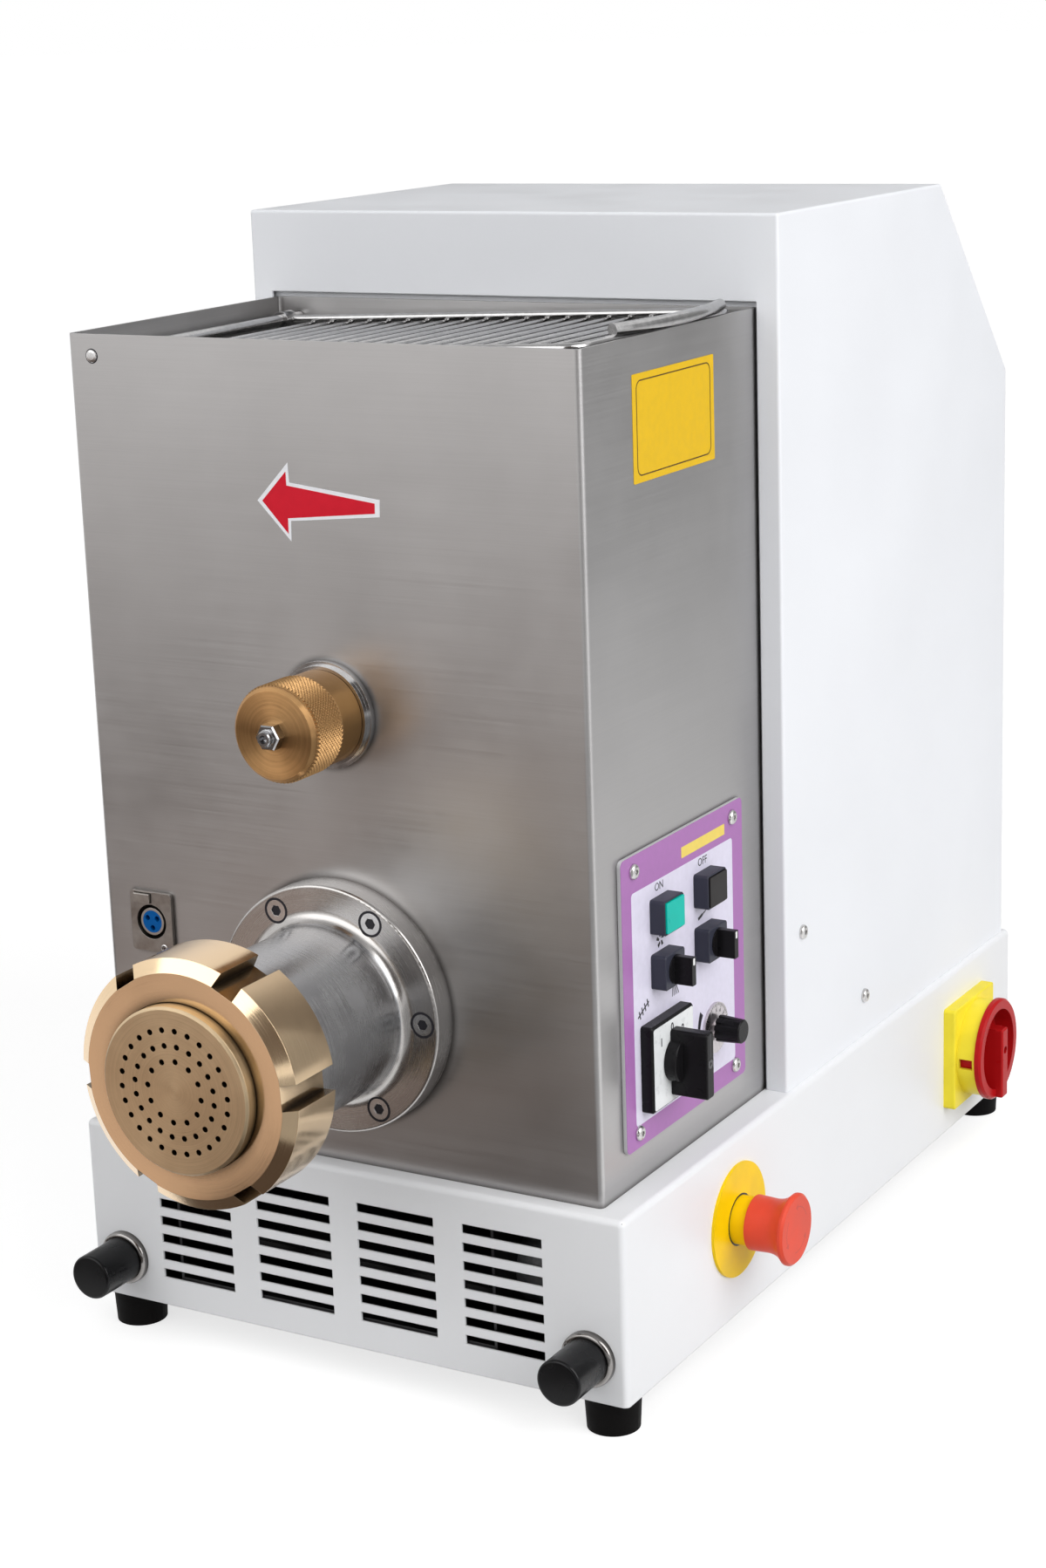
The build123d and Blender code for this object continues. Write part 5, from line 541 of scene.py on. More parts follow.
def add_object(name, data):
    """Puts an object in the scene."""
    made = bpy.data.objects.new(name, data)
    bpy.context.scene.collection.objects.link(made)
    return made


def add_mesh(name, mesh, finish, body):
    """Names a finished mesh, gives it its finish and lets it ride on a body."""
    piece = add_object(name, mesh)
    mesh.materials.clear()
    mesh.materials.append(finishes[finish].material)
    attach(piece, body)
    return piece


def stand(mesh, plane, origin):
    """Moves a mesh drawn in millimetres on a plane to its place in metres."""
    mesh.transform(Matrix.Translation(Vector(origin) * MM) @ (plane * MM).to_4x4())


def prism(outlines, height):
    """A flat piece bounded by one outline, with holes for the other ones."""
    shape = bmesh.new()
    for points in outlines:
        loop = [shape.verts.new((x, y, 0.0)) for x, y in points]
        for first, second in zip(loop, loop[1:] + loop[:1]):
            shape.edges.new((first, second))
    bmesh.ops.triangle_fill(shape, edges=shape.edges[:], use_beauty=True, normal=(0.0, 0.0, 1.0))
    grown = bmesh.ops.extrude_face_region(shape, geom=shape.faces[:])
    lifted = [item for item in grown["geom"] if isinstance(item, bmesh.types.BMVert)]
    bmesh.ops.translate(shape, verts=lifted, vec=(0.0, 0.0, height))
    bmesh.ops.recalc_face_normals(shape, faces=shape.faces[:])
    return finished_mesh(shape, "prism")


def flat_piece(name, outlines, plane, origin, height, finish, body="machine"):
    """A thin plate, film or print on a plane."""
    mesh = prism(outlines, height)
    stand(mesh, plane, origin)
    add_mesh(name, mesh, finish, body)


def strokes(name, outlines, plane, origin, height, finish, body="machine"):
    """Several separate marks joined in one piece."""
    shape = bmesh.new()
    for outline in outlines:
        mark = prism([outline], height)
        shape.from_mesh(mark)
        bpy.data.meshes.remove(mark)
    mesh = finished_mesh(shape, name)
    stand(mesh, plane, origin)
    add_mesh(name, mesh, finish, body)


def polar(radius, angle, x=0.0, y=0.0):
    """A point at a distance and an angle from a middle."""
    return (x + radius * math.cos(angle), y + radius * math.sin(angle))


def rounded(width, height, radius, x=0.0, y=0.0, steps=6):
    """Outline of a rounded rectangle."""
    points = []
    corners = ((1, 1, 0), (-1, 1, 90), (-1, -1, 180), (1, -1, 270))
    for sign_x, sign_y, start in corners:
        middle_x = x + sign_x * (width / 2 - radius)
        middle_y = y + sign_y * (height / 2 - radius)
        for step in range(steps + 1):
            angle = math.radians(start + 90 * step / steps)
            points.append(polar(radius, angle, middle_x, middle_y))
    return points


def circle(radius, x=0.0, y=0.0, steps=32):
    """Outline of a circle."""
    return [polar(radius, 2 * math.pi * step / steps, x, y) for step in range(steps)]


def arc_band(inner, outer, start, end, x=0.0, y=0.0, steps=16):
    """Outline of a band along an arc; inner and outer are radii at its start and end."""
    outside = []
    inside = []
    for step in range(steps + 1):
        share = step / steps
        angle = math.radians(start + (end - start) * share)
        outside.append(polar(outer[0] + (outer[1] - outer[0]) * share, angle, x, y))
        inside.append(polar(inner[0] + (inner[1] - inner[0]) * share, angle, x, y))
    return outside + inside[::-1]


def bar(start, end, width):
    """Outline of a straight stroke."""
    along = Vector(end) - Vector(start)
    across = Vector((-along.y, along.x)).normalized() * width / 2
    ends = (Vector(start) + across, Vector(start) - across, Vector(end) - across, Vector(end) + across)
    return [tuple(point) for point in ends]


def skin(shape, rings):
    """Faces between rings of equally many points, with both ends closed."""
    count = len(rings[0])
    for lower, upper in zip(rings, rings[1:]):
        for step in range(count):
            beside = (step + 1) % count
            shape.faces.new((lower[step], lower[beside], upper[beside], upper[step]))
    shape.faces.new(rings[0][::-1])
    shape.faces.new(rings[-1])


def lathe(name, profile, plane, origin, finish, body="machine", steps=32):
    """A round piece turned from a profile of radii and heights."""
    shape = bmesh.new()
    rings = []
    for radius, height in profile:
        rings.append([shape.verts.new((x, y, height)) for x, y in circle(radius, steps=steps)])
    skin(shape, rings)
    mesh = finished_mesh(shape, name)
    stand(mesh, plane, origin)
    add_mesh(name, mesh, finish, body)


def glyphs(name, text, size, origin, height, turn=0.0, bold=0.03):
    """Plain figures or ON and OFF marks on the right side, centred on their place."""
    curve = bpy.data.curves.new(name, "FONT")
    curve.body = text
    curve.size = size
    curve.align_x = "CENTER"
    curve.align_y = "CENTER"
    curve.extrude = height / 2
    curve.offset = bold * size
    curve.resolution_u = 3
    holder = add_object(name + "_curve", curve)
    bpy.context.view_layer.update()
    graph = bpy.context.evaluated_depsgraph_get()
    mesh = bpy.data.meshes.new_from_object(holder.evaluated_get(graph))
    bpy.data.objects.remove(holder)
    bpy.data.curves.remove(curve)
    mesh.transform(Matrix.Translation((0.0, 0.0, height / 2)) @ Matrix.Rotation(turn, 4, "Z"))
    stand(mesh, SIDE, origin)
    add_mesh(name, mesh, "print", "machine")


# Thicknesses of films and prints in millimetres
FILM = 0.15
INK = 0.08
CAM_FILM = 0.12
FIGURE_INK = 0.05
GROOVE_INK = 0.04
CROSS_INK = 0.02
ARROWS_INK = 0.01
THICK_INK = 0.1

# Direction arrow on the hopper front: a white film with a red arrow on it
arrow_border = [
    (-34.0, 437.0), (-16.0, 418.6), (-15.6, 428.2), (33.6, 432.7),
    (33.9, 440.7), (-15.6, 446.3), (-16.0, 455.6),
]
arrow_field = [
    (-31.2, 437.0), (-17.3, 422.1), (-17.2, 429.4), (31.1, 434.2),
    (31.2, 438.9), (-17.2, 444.8), (-17.3, 451.3),
]
arrow_at = (0, HOPPER_FRONT - FILM, 0)
flat_piece("arrow_film", [arrow_border], FRONT, (0, HOPPER_FRONT, 0), FILM, "sign_white")
flat_piece("arrow_mark", [arrow_field], FRONT, arrow_at, INK, "sign_red")

# Yellow plate with a thin line on the hopper's right side
LABEL_AT = (-147.3, 470.4)
LABEL_W = 82.0
LABEL_H = 49.6
LABEL_CORNER = 0.8
LINE_W = 74.6
LINE_H = 43.6
LINE_CORNER = 4.2
LINE_T = 0.6
label_at = (HOPPER_RIGHT, *LABEL_AT)
label_line_at = (HOPPER_RIGHT + FILM, *LABEL_AT)
label = [rounded(LABEL_W, LABEL_H, LABEL_CORNER)]
label_line = [
    rounded(LINE_W, LINE_H, LINE_CORNER),
    rounded(LINE_W - 2 * LINE_T, LINE_H - 2 * LINE_T, LINE_CORNER - LINE_T),
]
flat_piece("yellow_plate", label, SIDE, label_at, FILM, "label")
flat_piece("yellow_plate_line", label_line, SIDE, label_line_at, INK, "label_line")

# Print on the control panel: a pale field, a yellow band, two words and the marks of the controls
FIELD_AT = (-151.5, 199.5)
FIELD_W = 106.0
FIELD_H = 115.0
FIELD_CORNER = 2.0
BAND_AT = (-129.8, 263.4)
BAND_W = 46.3
BAND_H = 5.4
BAND_CORNER = 0.4
WORD_SIZE = 5.6
ON_AT = (-176.6, 253.6)
OFF_AT = (-131.0, 253.6)
print_x = PANEL_FACE + INK
print_at = (print_x, 0, 0)
field = [rounded(FIELD_W, FIELD_H, FIELD_CORNER)]
flat_piece("panel_field", field, SIDE, (PANEL_FACE, *FIELD_AT), INK, "field")
band = [rounded(BAND_W, BAND_H, BAND_CORNER, *BAND_AT)]
flat_piece("panel_band", band, SIDE, (PANEL_FACE, 0, 0), INK, "band")
glyphs("panel_on", "ON", WORD_SIZE, (print_x, *ON_AT), INK, bold=0.0)
glyphs("panel_off", "OFF", WORD_SIZE, (print_x, *OFF_AT), INK, bold=0.0)

FAN_MARK_AT = (-176.5, 227.3)
FAN_MARK_BLADES = 5
FAN_MARK_LEAN = 0.3
fan_blade = [(1.0, 0.0), (3.4, -0.9), (4.1, 0.8), (1.6, 1.0)]
fan_outlines = []
for blade in range(FAN_MARK_BLADES):
    turn = Matrix.Rotation(2 * math.pi * blade / FAN_MARK_BLADES + FAN_MARK_LEAN, 2)
    fan_outlines.append([tuple(turn @ Vector(point) + Vector(FAN_MARK_AT)) for point in fan_blade])
strokes("panel_fan_mark", fan_outlines, SIDE, print_at, INK, "print")

KNIFE_HANDLE_W = 1.5
knife_outlines = [
    bar((-136.6, 225.6), (-131.8, 227.0), KNIFE_HANDLE_W),
    [(-131.6, 226.5), (-126.0, 228.6), (-131.4, 227.6)],
]
strokes("panel_knife_mark", knife_outlines, SIDE, print_at, INK, "print")

STRANDS = 5
STRAND_W = 0.5
STRAND_TOP = Vector((-163.0, 200.6))
STRAND_TOP_STEP = Vector((0.9, 0.0))
STRAND_FOOT = Vector((-162.0, 195.2))
STRAND_FOOT_STEP = Vector((1.7, 0.0))
strand_outlines = []
for strand in range(STRANDS):
    lean = strand - STRANDS // 2
    strand_top = STRAND_TOP + lean * STRAND_TOP_STEP
    strand_foot = STRAND_FOOT + lean * STRAND_FOOT_STEP
    strand_outlines.append(bar(strand_top, strand_foot, STRAND_W))
strokes("panel_strand_mark", strand_outlines, SIDE, print_at, INK, "print")

SCREW_MARK_W = 0.8
SCREW_MARK_THREADS = 4
SCREW_MARK_FIRST = Vector((-199.2, 195.9))
SCREW_MARK_STEP = Vector((2.7, 1.3))
SCREW_MARK_UP = Vector((-0.2, 2.2))
SCREW_MARK_DOWN = Vector((1.2, -1.9))
screw_outlines = [bar((-200.6, 195.2), (-189.6, 200.4), SCREW_MARK_W)]
for thread in range(SCREW_MARK_THREADS):
    thread_at = SCREW_MARK_FIRST + thread * SCREW_MARK_STEP
    screw_outlines.append(bar(thread_at + SCREW_MARK_UP, thread_at + SCREW_MARK_DOWN, SCREW_MARK_W))
strokes("panel_mixer_mark", screw_outlines, SIDE, print_at, INK, "print")

RAMP_INNER = (15.6, 15.6)
RAMP_OUTER = (15.7, 19.4)
RAMP_START = 215
RAMP_END = 140
ramp = [arc_band(RAMP_INNER, RAMP_OUTER, RAMP_START, RAMP_END, *DIAL_AT)]
strokes("panel_speed_mark", ramp, SIDE, print_at, INK, "print")

# Cam switch face with plain figures
CAM_FACE_W = 40.6
CAM_FACE_CORNER = 1.2
CAM_FIGURE_SIZE = 5.6
cam_face = [rounded(CAM_FACE_W, CAM_FACE_W, CAM_FACE_CORNER, *CAM_AT)]
flat_piece("cam_switch_face", cam_face, SIDE, (CAM_FACE, 0, 0), CAM_FILM, "face")
cam_figures = (("1", -12.6, 11.8), ("0", -1.4, 16.2), ("2", 9.5, 12.2))
for figure, dy, dz in cam_figures:
    figure_at = (CAM_FACE + CAM_FILM, CAM_AT[0] + dy, CAM_AT[1] + dz)
    glyphs("cam_switch_figure_" + figure, figure, CAM_FIGURE_SIZE, figure_at, FIGURE_INK)

# Screw in the end of the cam switch's handle, with the pointer's groove above it
SMALL_STEPS = 24
GROOVE_W = 1.5
GROOVE_L = 12.0
GROOVE_CORNER = 0.6
GROOVE_AT = (0.0, 9.2)
handle_at = (HANDLE_FACE, *CAM_AT)
handle_screw = [(2.3, -0.2), (2.3, 0.05), (2.0, 0.15), (1.1, 0.15), (0.9, -0.1)]
# The screw has the dark inner steel, painted shade for the hole it sits in
lathe("cam_handle_screw", handle_screw, SIDE, handle_at, "inner", "cam_switch", steps=SMALL_STEPS)
groove = [rounded(GROOVE_W, GROOVE_L, GROOVE_CORNER, *GROOVE_AT)]
flat_piece("cam_handle_groove", groove, SIDE, handle_at, GROOVE_INK, "print", "cam_switch")

# Speed dial ticks and figures
DIAL_STEPS = 10
DIAL_START = 225.0
DIAL_SWEEP = 270.0
TICKS_PER_STEP = 4
TICK_W = 0.3
TICK_OUTER_R = 12.4
TICK_INNER_R = 11.2
LONG_TICK_INNER_R = 10.3
DIAL_FIGURE_R = 8.9
DIAL_FIGURE_SIZE = 2.4
tick_outlines = []
ticks = TICKS_PER_STEP * DIAL_STEPS
for tick in range(ticks + 1):
    angle = math.radians(DIAL_START - DIAL_SWEEP * tick / ticks)
    inner_r = TICK_INNER_R if tick % TICKS_PER_STEP else LONG_TICK_INNER_R
    tick_outlines.append(bar(polar(inner_r, angle), polar(TICK_OUTER_R, angle), TICK_W))
strokes("speed_dial_ticks", tick_outlines, SIDE, (DIAL_FACE, *DIAL_AT), FIGURE_INK, "print")
for step in range(DIAL_STEPS + 1):
    angle = math.radians(DIAL_START - DIAL_SWEEP * step / DIAL_STEPS)
    figure_at = (DIAL_FACE, *polar(DIAL_FIGURE_R, angle, *DIAL_AT))
    figure_turn = angle - math.pi / 2
    glyphs("speed_dial_figure_%d" % step, str(step), DIAL_FIGURE_SIZE, figure_at, FIGURE_INK, figure_turn)

# White marks on the selector levers
LEVER_MARK_W = 1.7
LEVER_MARK_H = 3.4
LEVER_MARK_CORNER = 0.5
LEVER_MARK_Z = 218.4
for lever, lever_y in (("fan_selector", -176.5), ("knife_selector", -131.0)):
    mark = [rounded(LEVER_MARK_W, LEVER_MARK_H, LEVER_MARK_CORNER, lever_y, LEVER_MARK_Z)]
    flat_piece(lever + "_mark", mark, SIDE, (LEVER_FACE, 0, 0), THICK_INK, "mark", lever)

# Turning arrows on the emergency stop's head; angles in degrees
TURN_ARROWS = 3
TURN_ARROW_FIRST = 20.0
TURN_ARROW_INNER = 11.4
TURN_ARROW_OUTER = 12.0
TURN_ARROW_SWEEP = 62.0
TIP_SWEEP = 74.0
TIP_R = 11.7
BARB_SWEEP = 61.0
BARB_INNER = 9.9
BARB_OUTER = 13.5
arrow_outlines = []
for arrow in range(TURN_ARROWS):
    first = TURN_ARROW_FIRST + 360.0 * arrow / TURN_ARROWS
    last = first + TURN_ARROW_SWEEP
    inner = (TURN_ARROW_INNER, TURN_ARROW_INNER)
    outer = (TURN_ARROW_OUTER, TURN_ARROW_OUTER)
    arrow_outlines.append(arc_band(inner, outer, first, last))
    tip = math.radians(first + TIP_SWEEP)
    barb = math.radians(first + BARB_SWEEP)
    arrow_outlines.append([polar(TIP_R, tip), polar(BARB_INNER, barb), polar(BARB_OUTER, barb)])
arrows_at = (ESTOP_FACE, *ESTOP_AT)
strokes("estop_arrows", arrow_outlines, SIDE, arrows_at, ARROWS_INK, "groove", "estop_head")

# Knurled band of the brass knob
KNURL_FRONT_Y = -279.6
KNURL_BACK_Y = -258.4
KNURL_TEETH = 72
KNURL_ROWS = 20
KNURL_ROOT = 22.6
KNURL_TIP = 23.5
KNURL_END_DROP = 0.3
knurl = bmesh.new()
knurl_rings = []
for row in range(KNURL_ROWS + 1):
    y = KNURL_FRONT_Y + (KNURL_BACK_Y - KNURL_FRONT_Y) * row / KNURL_ROWS
    ring = []
    for tooth in range(2 * KNURL_TEETH):
        radius = KNURL_TIP if (row + tooth) % 2 else KNURL_ROOT
        if row in (0, KNURL_ROWS):
            radius = KNURL_ROOT - KNURL_END_DROP
        x, z = polar(radius, math.pi * tooth / KNURL_TEETH, MIDDLE_X, MIXER_Z)
        ring.append(knurl.verts.new((x, y, z)))
    knurl_rings.append(ring)
for row in range(KNURL_ROWS):
    front_ring = knurl_rings[row]
    back_ring = knurl_rings[row + 1]
    for tooth in range(2 * KNURL_TEETH):
        beside = (tooth + 1) % (2 * KNURL_TEETH)
        corners = (front_ring[tooth], front_ring[beside], back_ring[beside], back_ring[tooth])
        if (row + tooth) % 2:
            knurl.faces.new((corners[0], corners[1], corners[2]))
            knurl.faces.new((corners[0], corners[2], corners[3]))
        else:
            knurl.faces.new((corners[1], corners[2], corners[3]))
            knurl.faces.new((corners[1], corners[3], corners[0]))
bmesh.ops.recalc_face_normals(knurl, faces=knurl.faces[:])
bmesh.ops.scale(knurl, vec=(MM, MM, MM), verts=knurl.verts[:])
add_mesh("knob_knurl", finished_mesh(knurl, "knob_knurl"), "knurl", "knob")

# Countersunk screw of the accessory connector
SCREW_RIGHT = 6.9
SCREW_DROP = 13.0
SCREW_RISE = 0.3
CROSS_W = 0.5
screw_x = CONNECTOR_AT[0] + SCREW_RIGHT
screw_z = CONNECTOR_AT[1] - SCREW_DROP
screw_profile = [(1.95, -0.1), (1.95, 0.08), (1.5, 0.24), (0.8, SCREW_RISE)]
screw_at = (screw_x, CONNECTOR_FACE, screw_z)
lathe("connector_screw", screw_profile, FRONT, screw_at, "zinc", steps=SMALL_STEPS)
# The screw's cross recess is drawn as dark strokes: painted shade
cross = [bar((-1.2, -0.4), (1.2, 0.4), CROSS_W), bar((0.4, -1.2), (-0.4, 1.2), CROSS_W)]
cross_at = (screw_x, CONNECTOR_FACE - SCREW_RISE, screw_z)
strokes("connector_screw_cross_shade", cross, FRONT, cross_at, CROSS_INK, "print")

# End of the lid's pivot in the hopper front, in a dark ring of painted shade for its clearance
pivot_at = (PIVOT_AT[0], HOPPER_FRONT, PIVOT_AT[1])
pivot_shade_ring = [(3.6, 0.0), (3.55, 0.06), (3.0, 0.06)]
lathe("pivot_clearance_shade", pivot_shade_ring, FRONT, pivot_at, "print")
pivot_dome = [(3.1, 0.0), (3.1, 0.35), (2.8, 0.6), (1.8, 0.78), (0.6, 0.84)]
lathe("pivot_end", pivot_dome, FRONT, pivot_at, "zinc", "lid")

# Painted shade: dark rings in the clearance round the barrel flange's screws, and dark bottoms in their
# sockets
GAP_INNER = (5.3, 5.3)
GAP_OUTER = (6.5, 6.5)
GAP_DEPTH = -0.02
SOCKET_R = 2.75
SOCKET_SIDES = 6
SOCKET_DEPTH = 0.5
gap_shade_outlines = []
socket_shade_outlines = []
for screw in range(FLANGE_SCREWS):
    middle = polar(FLANGE_SCREW_R, 2 * math.pi * screw / FLANGE_SCREWS)
    for start in (0.0, 180.0):
        gap_shade_outlines.append(arc_band(GAP_INNER, GAP_OUTER, start, start + 180.0, *middle))
    socket_shade_outlines.append(circle(SOCKET_R, *middle, steps=SOCKET_SIDES))
gap_at = (0, FLANGE_FACE + GAP_DEPTH, AUGER_Z)
strokes("flange_screw_gap_shade", gap_shade_outlines, FRONT, gap_at, THICK_INK, "print")
socket_at = (0, FLANGE_FACE + SOCKET_DEPTH, AUGER_Z)
strokes("flange_screw_socket_shade", socket_shade_outlines, FRONT, socket_at, THICK_INK, "print")

# Painted shadow: a dark ring where the emergency stop's neck leaves the disc
NECK_GAP_OUTER = 13.4
NECK_GAP_INNER = 12.45
neck_gap = [circle(NECK_GAP_OUTER), circle(NECK_GAP_INNER)]
neck_gap_at = (ESTOP_DISC, *ESTOP_AT)
flat_piece("estop_neck_painted_shadow", neck_gap, SIDE, neck_gap_at, FIGURE_INK, "print")

# Grease nipple: chamfered hexagon with a round nose and its bore
NIPPLE_STEPS = 48
HEX_TURN = math.pi / 3
HEX_FLAT = 5.7
HEX_HEIGHT = 5.5
HEX_CHAMFER = 0.8
NOSE_TOP = HEX_HEIGHT + 2.9

# Each row has the share of the hexagon's size or else a radius, and the height
nipple_profile = [
    (1.0, 0.0, 0.0),
    (1.0, 0.0, HEX_HEIGHT - HEX_CHAMFER),
    (0.9, 0.0, HEX_HEIGHT),
    (0.0, 4.1, HEX_HEIGHT),
    (0.0, 3.7, HEX_HEIGHT + 0.3),
    (0.0, 3.7, HEX_HEIGHT + 2.2),
    (0.0, 3.2, NOSE_TOP),
    (0.0, 2.0, NOSE_TOP),
    (0.0, 1.6, HEX_HEIGHT + 0.4),
]
nipple = bmesh.new()
nipple_rings = []
for flat_share, round_radius, height in nipple_profile:
    ring = []
    for step in range(NIPPLE_STEPS):
        angle = 2 * math.pi * step / NIPPLE_STEPS
        side_angle = (angle % HEX_TURN) - HEX_TURN / 2
        radius = flat_share * HEX_FLAT / math.cos(side_angle) if flat_share else round_radius
        ring.append(nipple.verts.new((*polar(radius, angle), height)))
    nipple_rings.append(ring)
skin(nipple, nipple_rings)
nipple_mesh = finished_mesh(nipple, "grease_nipple_nose")
stand(nipple_mesh, FRONT, (0, KNOB_FACE, MIXER_Z))
nipple_piece = add_mesh("grease_nipple_nose", nipple_mesh, "nipple", "knob")
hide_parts("grease_nipple")


def sheet(name, corners):
    """A single four-sided face as a scene object."""
    shape = bmesh.new()
    shape.faces.new([shape.verts.new(corner) for corner in corners])
    return add_object(name, finished_mesh(shape, name))


def bare_tree(thing, name):
    """Gives an object a new material and returns its empty node tree."""
    material = bpy.data.materials.new(name)
    material.use_nodes = True
    material.node_tree.nodes.clear()
    thing.data.materials.append(material)
    return material.node_tree


def seen_directly(tree):
    """1 for camera, glossy and transmission rays."""
    path = add_node(tree, "LightPath")
    links = [(0, path.outputs["Is Camera Ray"]), (1, path.outputs["Is Glossy Ray"])]
    either = add_node(tree, "Math", links, operation="MAXIMUM")
    links = [(0, either.outputs[0]), (1, path.outputs["Is Transmission Ray"])]
    return add_node(tree, "Math", links, operation="MAXIMUM").outputs[0]


def fade(tree, distance, reach, values):
    """Runs between two values while a distance runs between two lengths."""
    links = [
        ("Value", distance),
        ("From Min", reach[0]),
        ("From Max", reach[1]),
        ("To Min", values[0]),
        ("To Max", values[1]),
    ]
    return add_node(tree, "MapRange", links).outputs[0]


# Floor: pale, white to the camera, keeping the shadow
FLOOR_REACH = 40.0
FLOOR_Z = -0.0002
FLOOR_GREY = (0.5, 0.5, 0.5, 1.0)
FLOOR_GLOW = (0.7, 0.82)
FLOOR_FADE = (0.8, 2.6)
floor_corners = [
    (-FLOOR_REACH, -FLOOR_REACH, FLOOR_Z),
    (FLOOR_REACH, -FLOOR_REACH, FLOOR_Z),
    (FLOOR_REACH, FLOOR_REACH, FLOOR_Z),
    (-FLOOR_REACH, FLOOR_REACH, FLOOR_Z),
]
floor = sheet("floor", floor_corners)
floor_tree = bare_tree(floor, "floor")
floor_coords = add_node(floor_tree, "TexCoord").outputs["Object"]
floor_away = add_node(floor_tree, "VectorMath", [(0, floor_coords)], operation="LENGTH").outputs["Value"]
floor_glow = fade(floor_tree, floor_away, FLOOR_FADE, FLOOR_GLOW)
floor_seen = seen_directly(floor_tree)
glow_strength = add_node(floor_tree, "Math", [(0, floor_seen), (1, floor_glow)], operation="MULTIPLY")
floor_diffuse = add_node(floor_tree, "BsdfDiffuse", [("Color", FLOOR_GREY)])
floor_light = add_node(floor_tree, "Emission", [("Strength", glow_strength.outputs[0])])
floor_sum = add_node(floor_tree, "AddShader", [(0, floor_diffuse.outputs[0]), (1, floor_light.outputs[0])])
add_node(floor_tree, "OutputMaterial", [("Surface", floor_sum.outputs[0])])


def flag(name, corners, middle, reach, shade, tint=(1.0, 1.0, 1.0)):
    """A grey card that only reflections see; shade and tint run out with the distance from its middle."""
    card = sheet(name, corners)
    card.visible_camera = False
    card.visible_diffuse = False
    card.visible_shadow = False
    card.visible_transmission = False
    tree = bare_tree(card, name)
    coords = add_node(tree, "TexCoord").outputs["Object"]
    away = add_node(tree, "VectorMath", [(0, coords), (1, middle)], operation="DISTANCE").outputs["Value"]
    strength = fade(tree, away, reach, shade)
    pale = fade(tree, away, reach, (0.0, 1.0))
    links = [(MIX_FACTOR, pale), (MIX_FIRST, (*tint, 1.0)), (MIX_SECOND, (1.0, 1.0, 1.0, 1.0))]
    colour = add_node(tree, "Mix", links, data_type="RGBA").outputs[MIX_COLOUR]
    glow = add_node(tree, "Emission", [("Color", colour), ("Strength", strength)])
    add_node(tree, "OutputMaterial", [("Surface", glow.outputs[0])])


def level_flag(name, low, high, middle, reach, shade, rise=0.001, tint=(1.0, 1.0, 1.0)):
    """A flag that lies level between two corners, just above the floor or higher up."""
    corners = [
        (low[0], low[1], rise),
        (high[0], low[1], rise),
        (high[0], high[1], rise),
        (low[0], high[1], rise),
    ]
    flag(name, corners, (*middle, rise), reach, shade, tint)


def upright_flag(name, start, end, low, high, middle, reach, shade, tint=(1.0, 1.0, 1.0)):
    """A flag that stands between two places, from one height to another."""
    corners = [(*start, low), (*end, low), (*end, high), (*start, high)]
    flag(name, corners, middle, reach, shade, tint)


# Flags for the metal to mirror: level in front, above and beside, upright behind the camera and the part
WARM = (1.0, 0.8, 0.7)
FLAG_TOP = 2.6
level_flag(
    "front_flag",
    low=(-4.6, -5.0),
    high=(0.15, -0.34),
    middle=(-0.35, -0.85),
    reach=(0.6, 2.9),
    shade=(0.09, 0.99),
    tint=WARM,
)
level_flag(
    "front_right_flag",
    low=(0.15, -2.4),
    high=(2.2, -0.34),
    middle=(0.9, -1.0),
    reach=(0.8, 2.0),
    shade=(0.4, 0.9),
)
level_flag(
    "front_pale_card",
    low=(-0.52, -1.16),
    high=(-0.2, -0.52),
    middle=(-0.35, -0.8),
    reach=(0.5, 1.0),
    shade=(0.66, 0.66),
    rise=0.002,
    tint=WARM,
)
level_flag(
    "top_flag",
    low=(-3.0, -4.0),
    high=(3.0, 1.5),
    middle=(0.0, -0.6),
    reach=(0.6, 3.4),
    shade=(0.48, 0.95),
    rise=2.7,
)
upright_flag(
    "camera_flag",
    start=(0.55, -2.6),
    end=(2.4, -1.0),
    low=0.25,
    high=FLAG_TOP,
    middle=(1.6, -1.7, 1.2),
    reach=(0.6, 1.6),
    shade=(0.08, 0.3),
    tint=WARM,
)
for side, sign in (("right", 1), ("left", -1)):
    upright_flag(
        side + "_flag",
        start=(0.3 * sign, 3.9),
        end=(3.4 * sign, 2.3),
        low=0.0,
        high=FLAG_TOP,
        middle=(1.8 * sign, 3.1, 0.3),
        reach=(0.5, 3.0),
        shade=(0.28, 0.6),
    )
    level_flag(
        side + "_floor_flag",
        low=(0.2 * sign, 0.0),
        high=(3.4 * sign, 3.9),
        middle=(1.8 * sign, 3.1),
        reach=(0.5, 3.2),
        shade=(0.3, 1.0),
    )

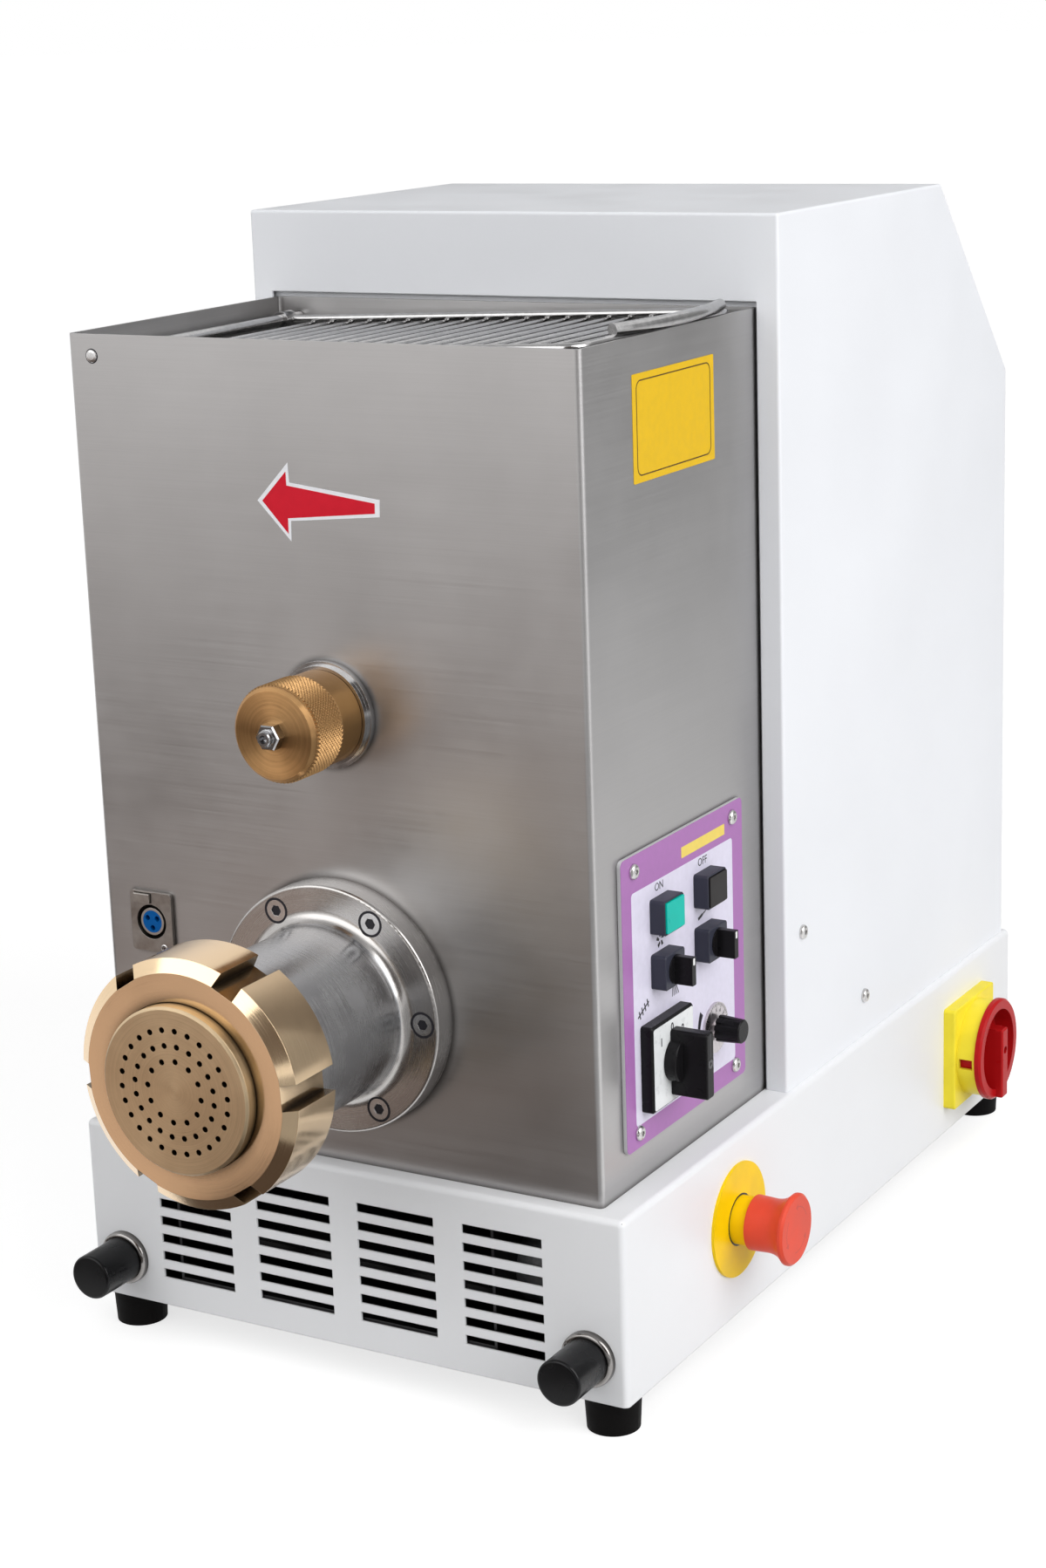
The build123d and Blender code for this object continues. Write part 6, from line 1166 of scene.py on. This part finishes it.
# World: white to the camera and in reflections, a soft fill to everything else
WORLD_FILL = 0.4
WORLD_WHITE = 1.0
world = bpy.data.worlds.new("studio")
bpy.context.scene.world = world
world.use_nodes = True
world_tree = world.node_tree
background = world_tree.nodes["Background"]
background.inputs["Color"].default_value = (1.0, 1.0, 1.0, 1.0)
world_strength = fade(world_tree, seen_directly(world_tree), (0.0, 1.0), (WORLD_FILL, WORLD_WHITE))
world_tree.links.new(world_strength, background.inputs["Strength"])


def softbox(name, place, aim, width, height, power):
    """An area lamp that points at a place."""
    lamp = bpy.data.lights.new(name, "AREA")
    lamp.shape = "RECTANGLE"
    lamp.size = width
    lamp.size_y = height
    lamp.energy = power
    holder = add_object(name, lamp)
    holder.location = place
    holder.rotation_euler = (Vector(aim) - Vector(place)).to_track_quat("-Z", "Y").to_euler()


softbox("key_light", place=(2.2, -0.5, 1.6), aim=(0.0, 0.0, 0.25), width=2.6, height=2.2, power=57.0)
softbox("front_light", place=(-0.9, -2.5, 1.9), aim=(0.0, 0.0, 0.28), width=3.4, height=2.4, power=36.0)

# Camera at the photograph's place; angles in degrees, the focal length and the frame's height in pixels
CAMERA_PLACE = (0.77041, -1.36960, 0.65930)
CAMERA_AZIMUTH = 30.426
CAMERA_ELEVATION = 14.719
CAMERA_ROLL = -1.952
CAMERA_SENSOR = 36.0
CAMERA_CLIP = 200.0
FOCAL_PIXELS = 3423.2
FRAME_PIXELS = 1798.0
azimuth = math.radians(CAMERA_AZIMUTH)
elevation = math.radians(CAMERA_ELEVATION)
roll = math.radians(CAMERA_ROLL)
back = Vector(
    (
        math.sin(azimuth) * math.cos(elevation),
        -math.cos(azimuth) * math.cos(elevation),
        math.sin(elevation),
    )
)
level = Vector((0.0, 0.0, 1.0)).cross(back).normalized()
upright = back.cross(level)
right = math.cos(roll) * level + math.sin(roll) * upright
up = -math.sin(roll) * level + math.cos(roll) * upright
camera_data = bpy.data.cameras.new("camera")
camera_data.sensor_fit = "VERTICAL"
camera_data.sensor_height = CAMERA_SENSOR
camera_data.lens = FOCAL_PIXELS / FRAME_PIXELS * CAMERA_SENSOR
camera_data.clip_end = CAMERA_CLIP
camera = add_object("camera", camera_data)
camera.matrix_world = Matrix.Translation(CAMERA_PLACE) @ Matrix((right, up, back)).transposed().to_4x4()
bpy.context.scene.camera = camera
bpy.context.scene.view_settings.view_transform = "Standard"

# Bring the scene's placements up to date
bpy.context.view_layer.update()
